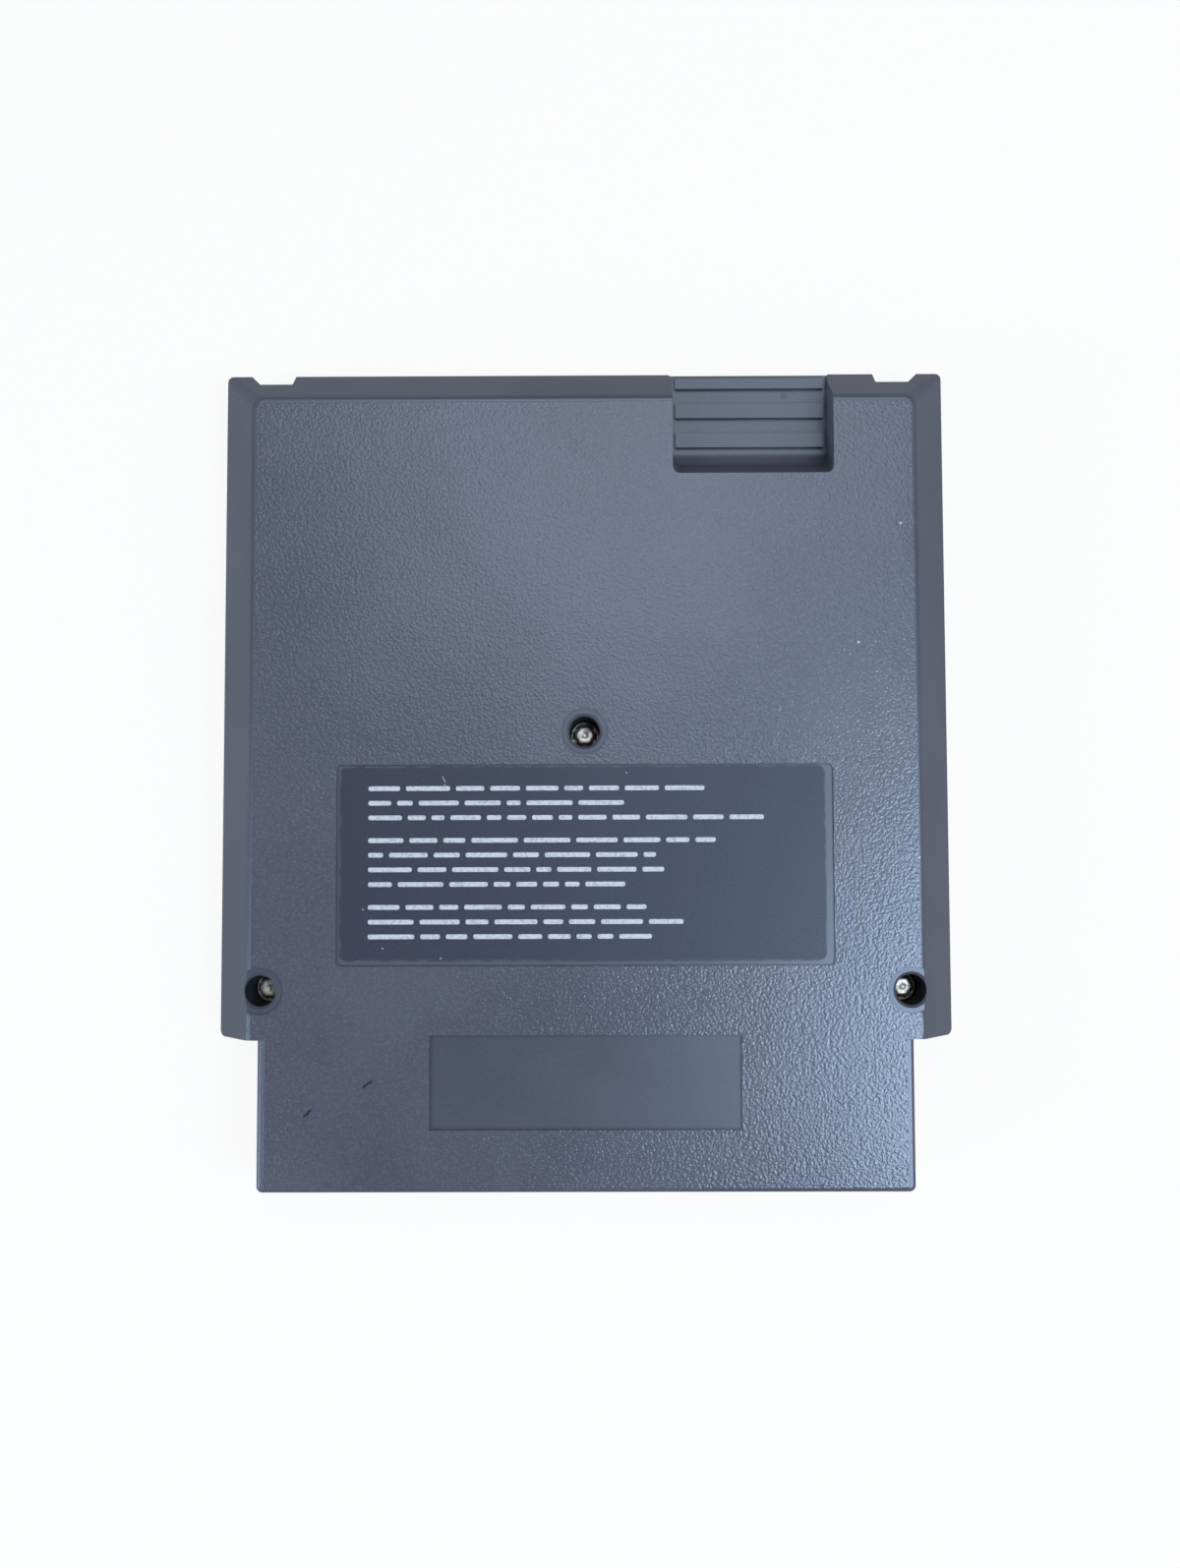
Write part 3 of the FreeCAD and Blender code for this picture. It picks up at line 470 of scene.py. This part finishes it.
def grained_field(finish, x, y, depth):
    """Shares of the grained field of a face and of the smooth crest round it, 0 in the recesses."""
    neck_limit = HALF_WIDTH - NECK_FIELD_INSET
    on_body = finish.math("GREATER_THAN", y, NECK_TOP_Y)
    limit = finish.plus(neck_limit, finish.times(on_body, NECK_FIELD_INSET - BODY_FIELD_INSET))
    inside = finish.ramp(finish.minus(limit, finish.math("ABSOLUTE", x)), 0.0, FIELD_BLEND)
    field_top = TOP_Y - TOP_FIELD_INSET
    below_top = finish.ramp(y, field_top, field_top - FIELD_BLEND)
    on_face = finish.ramp(depth, FACE_DEPTH, FACE_DEPTH / 2)
    field = finish.times(inside, below_top, on_face)
    return field, finish.minus(on_face, field)


def case_plastic(name, face_z, outward):
    """Moulded grey plastic, finely grained on the face at face_z and satin elsewhere.

    The rear face, whose outward is 1, looks up, and the front face, at -1, looks down.
    """
    finish = Finish(name, {"IOR": PLASTIC_IOR, "Specular Tint": REFLECTION_TINT})
    place = finish.place()
    x, y, z = finish.split(place)
    depth = finish.times(finish.minus(face_z, z), outward)
    field, crest = grained_field(finish, x, y, depth)
    normal = finish.add("ShaderNodeNewGeometry", {}, output="True Normal")
    level = finish.math("ABSOLUTE", finish.split(normal)[2])

    warp = finish.noise(place, GRAIN_SIZE, output="Color")
    pushed = finish.add("ShaderNodeVectorMath", {0: warp, "Scale": GRAIN_WARP}, operation="SCALE")
    warped = finish.add("ShaderNodeVectorMath", {0: place, 1: pushed}, operation="ADD")
    cells = finish.cells(warped, GRAIN_SIZE)
    grain = finish.times(cells, -GRAIN_HEIGHT)
    fine = finish.times(finish.noise(place, FINE_SIZE), FINE_HEIGHT)
    satin = finish.times(finish.noise(place, SATIN_SIZE), SATIN_HEIGHT)
    finish.bump(finish.plus(finish.times(field, finish.plus(grain, fine, FIELD_STEP)), satin))

    # Painted light and shade on the grain: cells paler on their peaks and darker in their pits
    grain_light_and_shade = finish.times(field, finish.ramp(cells, *PEAK_SPAN, *PEAK_LIGHT_TONES))
    # Painted highlight: the smooth crest round the grained field is painted paler
    crest_highlight = finish.times(crest, CREST_HIGHLIGHT_TONE)
    # Painted light: upright walls are painted paler than level faces
    wall_light = finish.ramp(level, *WALL_LIGHT_LEVELS, 0.0, WALL_LIGHT_TONE)
    blotch = finish.ramp(finish.noise(place, BLOTCH_SIZE, detail=4.0), *NOISE_SPAN, 0.0, BLOTCH_TONE)
    speckle = finish.ramp(finish.noise(place, FINE_SIZE, detail=1.0), *NOISE_SPAN, 0.0, SPECKLE_TONE)
    tone = finish.plus(grain_light_and_shade, crest_highlight, wall_light, blotch, speckle)
    colour = finish.mix(tone, PLASTIC_DARK, PLASTIC_LIGHT)
    # Painted shade: corners darkened by ambient occlusion, plus a dark line along the parting of the
    # shells
    colour = finish.mix(shade_and_seam(finish, z, level), colour, PLASTIC_SHADE_AND_DIRT)
    # Painted shade: the screw wells are painted near black below their rims
    well_shade = painted_well_shade(finish, x, y, depth)
    colour = finish.mix(well_shade, colour, WELL_PAINTED_SHADE)
    if outward > 0:
        # Painted light on the ledge of the sticker's recess
        colour = painted_lit_ledge(finish, colour, x, y, depth)
        colour = worn(finish, colour, warped, x, y, depth)
    finish.set("Base Color", colour)

    smooth = finish.ramp(level, *BORDER_LEVELS, BORDER_ROUGHNESS, SMOOTH_ROUGHNESS)
    roughness = finish.ramp(field, 0.0, 1.0, smooth, FIELD_ROUGHNESS)
    finish.set("Roughness", finish.largest(roughness, finish.times(well_shade, WELL_ROUGHNESS)))
    return finish.material


def shade_and_seam(finish, z, level):
    """Share of painted shade in the corners of level faces, and of a dark line along the parting of
    the shells.
    """
    inputs = {"Distance": SHADE_REACH}
    openness = finish.add("ShaderNodeAmbientOcclusion", inputs, output="AO", samples=SHADE_SAMPLES)
    lying = finish.ramp(level, *SHADE_LEVELS, 0.0, SHADE_SHARE)
    corners = finish.times(finish.ramp(openness, *SHADE_OPENNESS), lying)
    off_parting = finish.off(z, PARTING_Z)
    seam = finish.ramp(off_parting, PARTING_GRIME, PARTING_GRIME / 2, 0.0, PARTING_SHARE)
    return finish.largest(corners, seam)


def painted_well_shade(finish, x, y, depth):
    """1 down in the screw wells, below their rims, where the wells are painted dark as shade."""
    wells = finish.largest(*[finish.spot(x, y, middle, WELL_REACH) for middle in SCREW_PLACES])
    return finish.times(finish.math("GREATER_THAN", wells, 0.0), finish.ramp(depth, *WELL_SHADE_DEPTHS))


def painted_lit_ledge(finish, colour, x, y, depth):
    """Floor of the sticker's recess painted paler as light, with its rim left dark."""
    off_recess = finish.off_box(x, y, recess_low, recess_high)
    in_recess = finish.ramp(off_recess, -LEDGE_LINE, -2 * LEDGE_LINE)
    ledge = finish.times(in_recess, finish.ramp(depth, FACE_DEPTH, FACE_DEPTH * 2))
    return finish.mix(finish.times(ledge, LEDGE_LIGHT_SHARE), colour, PLASTIC_LIGHT)


def worn(finish, colour, warped, x, y, depth):
    """Two ragged dark nicks, a few pale specks and a smudge in the thumb grip."""
    on_face = finish.ramp(depth, *WEAR_DEPTHS)
    ragged_x, ragged_y, _ = finish.split(warped)
    lines = [finish.line(ragged_x, ragged_y, *scaled(nick), NICK_WIDTH) for nick in NICKS]
    colour = finish.mix(finish.times(finish.largest(*lines), on_face), colour, NICK_BROWN)
    spots = [finish.spot(x, y, speck, SPECK_R) for speck in scaled(SPECKS)]
    specks = finish.times(finish.largest(*spots), on_face, SPECK_SHARE)
    colour = finish.mix(specks, colour, SPECK_PALE)
    smudge = finish.spot(x, y, Vector(SMUDGE) * MM, SMUDGE_R)
    return finish.mix(finish.times(smudge, SMUDGE_SHARE), colour, PLASTIC_SHADE_AND_DIRT)


def sticker_film():
    """Dark satin film with a fine mottle, a paler rubbed rim, a small crease and specks."""
    sockets = {"Roughness": STICKER_ROUGHNESS, "Specular Tint": REFLECTION_TINT}
    finish = Finish("sticker_film", sockets)
    place = finish.place()
    x, y, _ = finish.split(place)
    mottle = finish.noise(place, STICKER_MOTTLE, detail=3.0)
    colour = finish.mix(finish.ramp(mottle, *NOISE_SPAN), STICKER_NAVY, STICKER_NAVY_LIGHT)
    rim = finish.ramp(finish.off_box(x, y, sticker_low, sticker_high), -STICKER_RIM, 0.0)
    rubbed = finish.ramp(finish.noise(place, RUB_SIZE), *RUB_SPAN, *RUB_SHARES)
    colour = finish.mix(finish.times(rim, rubbed), colour, STICKER_EDGE)
    crease = scaled(CREASE)
    folds = [finish.line(x, y, a, b, CREASE_WIDTH) for a, b in zip(crease, crease[1:])]
    spots = [finish.spot(x, y, speck, STICKER_SPECK_R) for speck in scaled(STICKER_SPECKS)]
    marks = finish.times(finish.largest(*folds, *spots), STICKER_WEAR_SHARE)
    finish.set("Base Color", finish.mix(marks, colour, SPECK_PALE))
    finish.bump(finish.times(mottle, STICKER_RELIEF))
    return finish.material


def print_ink():
    """Pale ink, thin in places."""
    finish = Finish("print_ink", {"Roughness": INK_ROUGHNESS})
    thin = finish.ramp(finish.noise(finish.place(), INK_PATCH, detail=3.0), *INK_THIN_SPAN)
    finish.set("Base Color", finish.mix(thin, INK_PALE, INK_THIN))
    return finish.material


def bright_metal(name, light, dark, roughness, stretch):
    """Plain plated metal with a faint drawn streak and dull patches."""
    finish = Finish(name, {"Metallic": 1.0})
    place = finish.place()
    drawn = finish.noise(finish.stretched(place, stretch), STREAK_SIZE, detail=3.0)
    dull = finish.noise(place, DULL_SIZE, detail=3.0)
    finish.set("Base Color", finish.mix(finish.ramp(dull, *PATCH_SPAN), light, dark))
    finish.set("Roughness", finish.ramp(dull, *NOISE_SPAN, roughness, roughness + DULL_ROUGHNESS))
    finish.bump(finish.times(drawn, STREAK_HEIGHT))
    return finish.material


def speckled(name, light, dark, roughness, size, height):
    """Moulded or dipped coating with a fine speckle in its colour and relief."""
    finish = Finish(name, {"Roughness": roughness})
    speckle = finish.noise(finish.place(), size, detail=4.0)
    finish.set("Base Color", finish.mix(finish.ramp(speckle, *PATCH_SPAN), light, dark))
    finish.bump(finish.times(speckle, height))
    return finish.material


def board_laminate():
    """Green lacquered board with fine copper tracks under the lacquer and bare tan edges."""
    finish = Finish("board_laminate", {"Roughness": BOARD_ROUGHNESS})
    place = finish.place()
    x, _, z = finish.split(place)
    contact_low, contact_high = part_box("contacts_rear")
    pitch = (contact_high.x - contact_low.x) / (CONTACT_GAPS + CONTACT_SHARE)
    pitches = finish.math("DIVIDE", finish.minus(x, contact_low.x - pitch), pitch)
    off_track = finish.off(finish.math("FRACT", pitches), CONTACT_SHARE / 2)
    runs = finish.noise(finish.stretched(place, TRACK_STRETCH), TRACK_RUN)
    running = finish.math("GREATER_THAN", runs, TRACK_LIMIT)
    track = finish.times(finish.ramp(off_track, *TRACK_HALVES), running)
    weave = finish.noise(finish.stretched(place, WEAVE_STRETCH), WEAVE_SIZE)
    colour = finish.mix(finish.ramp(weave, *NOISE_SPAN), BOARD_GREEN, BOARD_GREEN_DARK)
    colour = finish.mix(finish.times(track, TRACK_SHARE), colour, BOARD_TRACK)
    board_low, board_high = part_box("circuit_board")
    half = (board_high.z - board_low.z) / 2
    off_middle = finish.off(z, (board_low.z + board_high.z) / 2)
    edge = finish.ramp(off_middle, *[half * share for share in BOARD_EDGE_SHARES])
    finish.set("Base Color", finish.mix(edge, colour, BOARD_EDGE))
    finish.bump(finish.plus(finish.times(track, TRACK_HEIGHT), finish.times(weave, WEAVE_HEIGHT)))
    return finish.material


def sleeve_film():
    """Glossy blue film with one pale stripe along the capacitor."""
    finish = Finish("sleeve_film", {"Roughness": SLEEVE_ROUGHNESS})
    place = finish.place()
    _, y, z = finish.split(place)
    low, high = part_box("supply_sleeve")
    middle = (low + high) / 2
    turn = finish.math("ARCTAN2", finish.minus(y, middle.y), finish.minus(z, middle.z))
    stripe = finish.ramp(finish.off(turn, STRIPE_TURN), *STRIPE_HALVES)
    shade = finish.mix(finish.noise(place, SLEEVE_SHADE_SIZE), SLEEVE_BLUE, SLEEVE_BLUE_DARK)
    finish.set("Base Color", finish.mix(stripe, shade, STRIPE_PALE))
    finish.bump(finish.times(finish.noise(place, SLEEVE_RELIEF_SIZE), SLEEVE_RELIEF))
    return finish.material


def shaded_by_angle():
    """Geometry nodes that shade a mesh smooth but keep its sharp edges."""
    group = bpy.data.node_groups.new("shaded_by_angle", "GeometryNodeTree")
    for way in ("INPUT", "OUTPUT"):
        group.interface.new_socket("Geometry", in_out=way, socket_type="NodeSocketGeometry")
    tree = Tree(group)
    shape = tree.add("NodeGroupInput", {})
    shape = tree.add("GeometryNodeRemoveAttribute", {0: shape, "Name": "custom_normal"})
    shape = tree.add("GeometryNodeSetShadeSmooth", {0: shape, "Shade Smooth": True}, domain="FACE")
    angle = tree.add("GeometryNodeInputMeshEdgeAngle", {})
    sharp = tree.math("GREATER_THAN", angle, SHARP_ANGLE)
    inputs = {0: shape, 1: sharp, "Shade Smooth": False}
    shape = tree.add("GeometryNodeSetShadeSmooth", inputs, domain="EDGE")
    tree.add("NodeGroupOutput", {0: shape})
    return group


def soften(piece, width, shading):
    """Rounds the sharp edges of a piece a little, as moulding does."""
    weld = piece.modifiers.new("weld", "WELD")
    weld.merge_threshold = WELD_REACH
    flat = piece.modifiers.new("flat", "DECIMATE")
    flat.decimate_type = "DISSOLVE"
    flat.angle_limit = FLAT_ANGLE
    bevel = piece.modifiers.new("bevel", "BEVEL")
    bevel.width = width
    bevel.segments = EDGE_SEGMENTS
    bevel.limit_method = "ANGLE"
    bevel.angle_limit = BEVEL_ANGLE
    shade = piece.modifiers.new("shade", "NODES")
    shade.node_group = shading
    piece.modifiers.new("normals", "WEIGHTED_NORMAL").keep_sharp = True


def dress_nodes(finishes):
    """Gives the solids of the frame their materials, and soft edges where a width is given."""
    shading = shaded_by_angle()
    for node, (finish, edge) in DRESSING.items():
        piece = nodes[node]
        piece.material_slots[0].material = finishes[finish]
        if edge:
            soften(piece, edge, shading)


def add_piece(name, mesh, material, slot, *replaced):
    """A new piece of the part, which may stand for nodes of the frame."""
    mesh.materials.append(material)
    mesh.shade_smooth()
    mesh.set_sharp_from_angle(angle=SHARP_ANGLE)
    piece = bpy.data.objects.new(name, mesh)
    bpy.context.scene.collection.objects.link(piece)
    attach(piece, "root")
    if replaced:
        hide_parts(*replaced)


def to_mesh(name, solids):
    """One mesh of closed solids, each given as a stack of rings of points with capped ends."""
    shape = bmesh.new()
    for rings in solids:
        loops = [[shape.verts.new(point) for point in ring] for ring in rings]
        for low, high in zip(loops, loops[1:]):
            for i in range(len(low)):
                j = (i + 1) % len(low)
                shape.faces.new((low[i], low[j], high[j], high[i]))
        shape.faces.new(loops[0][::-1])
        shape.faces.new(loops[-1])
    bmesh.ops.recalc_face_normals(shape, faces=shape.faces)
    mesh = bpy.data.meshes.new(name)
    shape.to_mesh(mesh)
    shape.free()
    return mesh


def ring_points(middle, reaches, z):
    """Ring of points round an upright axis, evenly turned, one for each reach."""
    points = []
    for i, reach in enumerate(reaches):
        angle = 2 * math.pi * i / len(reaches)
        points.append((middle[0] + reach * math.cos(angle), middle[1] + reach * math.sin(angle), z))
    return points


def turned(middle, radius, z, groove=0.0):
    """Ring of a screw head, drawn in at its grooves."""
    sector = 2 * math.pi / HEAD_GROOVES
    reaches = []
    for i in range(HEAD_STEPS):
        off = (2 * math.pi * i / HEAD_STEPS) % sector - sector / 2
        reaches.append(radius - groove * math.exp(-((off / HEAD_GROOVE_SPREAD) ** 2)))
    return ring_points(middle, reaches, z)


def screw_head(middle, seat_z):
    """Flange and domed stud head with six grooves in its side and a dimple on top."""
    flange_z = seat_z + FLANGE
    top_z = flange_z + HEAD_HEIGHT
    rings = [
        turned(middle, FLANGE_R - HEAD_EDGE, seat_z),
        turned(middle, FLANGE_R, seat_z + HEAD_EDGE),
        turned(middle, FLANGE_R, flange_z - HEAD_EDGE),
        turned(middle, FLANGE_R - HEAD_EDGE, flange_z),
        turned(middle, HEAD_R + HEAD_EDGE, flange_z),
        turned(middle, HEAD_R, flange_z + HEAD_EDGE, groove=HEAD_GROOVE),
    ]
    for i in range(HEAD_ROUND_RINGS + 1):
        turn = math.pi / 2 * i / HEAD_ROUND_RINGS
        radius = HEAD_R - HEAD_ROUND * (1 - math.cos(turn))
        z = top_z - HEAD_ROUND * (1 - math.sin(turn))
        rings.append(turned(middle, radius, z, groove=HEAD_GROOVE * math.cos(turn) ** 2))
    for share, drop in DIMPLE_PROFILE:
        rings.append(turned(middle, DIMPLE_R * share, top_z - DIMPLE_DEPTH * drop))
    return rings


def threaded_shank(middle, low_z, high_z):
    """Shank with a thread, as a stack of rings whose radius follows the helix, and a thinner tip."""
    rings = []
    count = round((high_z - low_z) / THREAD_PITCH * THREAD_ROWS)
    for row in range(count + 1):
        z = low_z + (high_z - low_z) * row / count
        past_tip = min(1.0, (z - low_z) / THREAD_PITCH)
        share = SHANK_TIP_SHARE + (1 - SHANK_TIP_SHARE) * past_tip
        reaches = []
        for i in range(SHANK_STEPS):
            turn = (z / THREAD_PITCH - i / SHANK_STEPS) % 1.0
            crest = max(0.0, 1 - abs(turn - 0.5) * THREAD_SLOPE)
            reaches.append((SHANK_R - THREAD_DEPTH * (1 - crest)) * share)
        rings.append(ring_points(middle, reaches, z))
    return rings


def build_screws(material):
    """The three case screws, with rounded heads and threads."""
    seat_z = screw_high.z - HEAD_HEIGHT - FLANGE
    solids = []
    for middle in SCREW_PLACES:
        solids.append(screw_head(middle, seat_z))
        solids.append(threaded_shank(middle, screw_low.z, seat_z + FLANGE / 2))
    mesh = to_mesh("security_screws", solids)
    add_piece("security_screws", mesh, material, "screw_steel", "case_screws")


def rounded_bar(x0, x1, y0, y1, z):
    """Ring of points round a flat bar with round corners."""
    inner_x0 = x0 + PRINT_BAR_ROUND
    inner_x1 = x1 - PRINT_BAR_ROUND
    inner_y0 = y0 + PRINT_BAR_ROUND
    inner_y1 = y1 - PRINT_BAR_ROUND
    corners = [(inner_x1, inner_y1), (inner_x0, inner_y1), (inner_x0, inner_y0), (inner_x1, inner_y0)]
    points = []
    for quarter, (x, y) in enumerate(corners):
        for step in range(PRINT_CORNER_STEPS + 1):
            angle = math.pi / 2 * (quarter + step / PRINT_CORNER_STEPS)
            dx = PRINT_BAR_ROUND * math.cos(angle)
            dy = PRINT_BAR_ROUND * math.sin(angle)
            points.append((x + dx, y + dy, z))
    return points


def build_print(material):
    """Blocks of plain pale bars on the sticker."""
    draw = random.Random(PRINT_SEED)
    left = sticker_low.x + PRINT_MARGIN_X
    width = sticker_high.x - PRINT_MARGIN_X - left
    half = PRINT_BAR_HEIGHT / 2
    y = sticker_high.y - PRINT_MARGIN_TOP
    levels = (sticker_high.z - PRINT_SUNK, sticker_high.z + PRINT_PROUD)
    bars = []
    for rows in PRINT_BLOCKS:
        for _ in range(rows):
            x = left
            end = left + width * draw.uniform(*PRINT_ROW_SHARES)
            while x < end:
                reach = min(draw.uniform(*PRINT_BAR_WIDTHS), left + width - x)
                if reach < PRINT_BAR_WIDTHS[0]:
                    break
                bars.append([rounded_bar(x, x + reach, y - half, y + half, z) for z in levels])
                x += reach + PRINT_BAR_GAP
            y -= PRINT_ROW
        y -= PRINT_BLOCK_GAP
    add_piece("sticker_print", to_mesh("sticker_print", bars), material, "sticker_film")


def lay_floor():
    """Floor that is near white to the eye and in reflections, and keeps the shadow of the part."""
    mesh = bpy.data.meshes.new("floor")
    half = FLOOR_SIZE / 2
    corners = [(-half, -half, 0), (half, -half, 0), (half, half, 0), (-half, half, 0)]
    mesh.from_pydata(corners, [], [(0, 1, 2, 3)])
    floor = bpy.data.objects.new("floor", mesh)
    floor.location.z = case_low.z - FLOOR_GAP
    bpy.context.scene.collection.objects.link(floor)
    finish = Finish("floor", {"Roughness": FLOOR_ROUGHNESS, "Base Color": FLOOR_COLOUR})
    path = finish.tree.nodes.new("ShaderNodeLightPath")
    seen = finish.largest(*[path.outputs[ray] for ray in SEEN_RAYS])
    glow = finish.add("ShaderNodeEmission", {"Color": (1, 1, 1, 1), "Strength": 1.0})
    lit = finish.surface.outputs["BSDF"]
    both = finish.add("ShaderNodeMixShader", {0: finish.times(seen, FLOOR_GLOW), 1: lit, 2: glow})
    finish.put(finish.tree.nodes["Material Output"].inputs["Surface"], both)
    mesh.materials.append(finish.material)


def light_world():
    """Soft sky, pale near the horizon and dimmer overhead."""
    world = bpy.data.worlds.new("studio")
    bpy.context.scene.world = world
    world.use_nodes = True
    world.node_tree.nodes.clear()
    tree = Tree(world.node_tree)
    direction = tree.add("ShaderNodeTexCoord", {}, output="Generated")
    height = tree.split(direction)[2]
    colour = tree.mix(tree.ramp(height, *HORIZON_HEIGHTS), HORIZON, OVERHEAD)
    sky = tree.add("ShaderNodeBackground", {"Color": colour})
    tree.add("ShaderNodeOutputWorld", {"Surface": sky})


def area_light(name, place, width, power, colour):
    """Round lamp that faces the origin."""
    light = bpy.data.lights.new(name, "AREA")
    light.shape = "DISK"
    light.size = width
    light.energy = power
    light.color = colour
    lamp = bpy.data.objects.new(name, light)
    lamp.location = place
    lamp.rotation_euler = (-Vector(place)).to_track_quat("-Z", "Y").to_euler()
    bpy.context.scene.collection.objects.link(lamp)


def set_camera():
    """The photograph's camera, from the turn and offset of the part as the camera sees it."""
    turn = (
        Matrix.Rotation(CAMERA_ROLL, 3, "Z")
        @ Matrix.Rotation(CAMERA_TILT, 3, "X")
        @ Matrix.Rotation(CAMERA_YAW, 3, "Y")
    ).transposed()
    middle = (case_low + case_high) / 2
    data = bpy.data.cameras.new("camera")
    data.sensor_width = SENSOR
    data.lens = FOCAL_PIXELS / PHOTO_HEIGHT * SENSOR
    data.clip_start = CLIP_START
    camera = bpy.data.objects.new("camera", data)
    camera.matrix_world = Matrix.Translation(middle - turn @ CAMERA_OFFSET) @ turn.to_4x4()
    bpy.context.scene.collection.objects.link(camera)
    bpy.context.scene.camera = camera


# Materials and pieces
finishes = {name: bright_metal(name, *look) for name, look in METALS.items()}
for name, look in COATINGS.items():
    finishes[name] = speckled(name, *look)
finishes["rear_plastic"] = case_plastic("rear_plastic", TOP_Z, 1.0)
finishes["front_plastic"] = case_plastic("front_plastic", case_low.z, -1.0)
finishes["sticker_film"] = sticker_film()
finishes["board_laminate"] = board_laminate()
finishes["sleeve_film"] = sleeve_film()
dress_nodes(finishes)
build_screws(finishes["screw_steel"])
build_print(print_ink())

# Studio
lay_floor()
light_world()
for name, lamp in LAMPS.items():
    area_light(name, *lamp)
set_camera()
bpy.context.scene.view_settings.view_transform = "Standard"
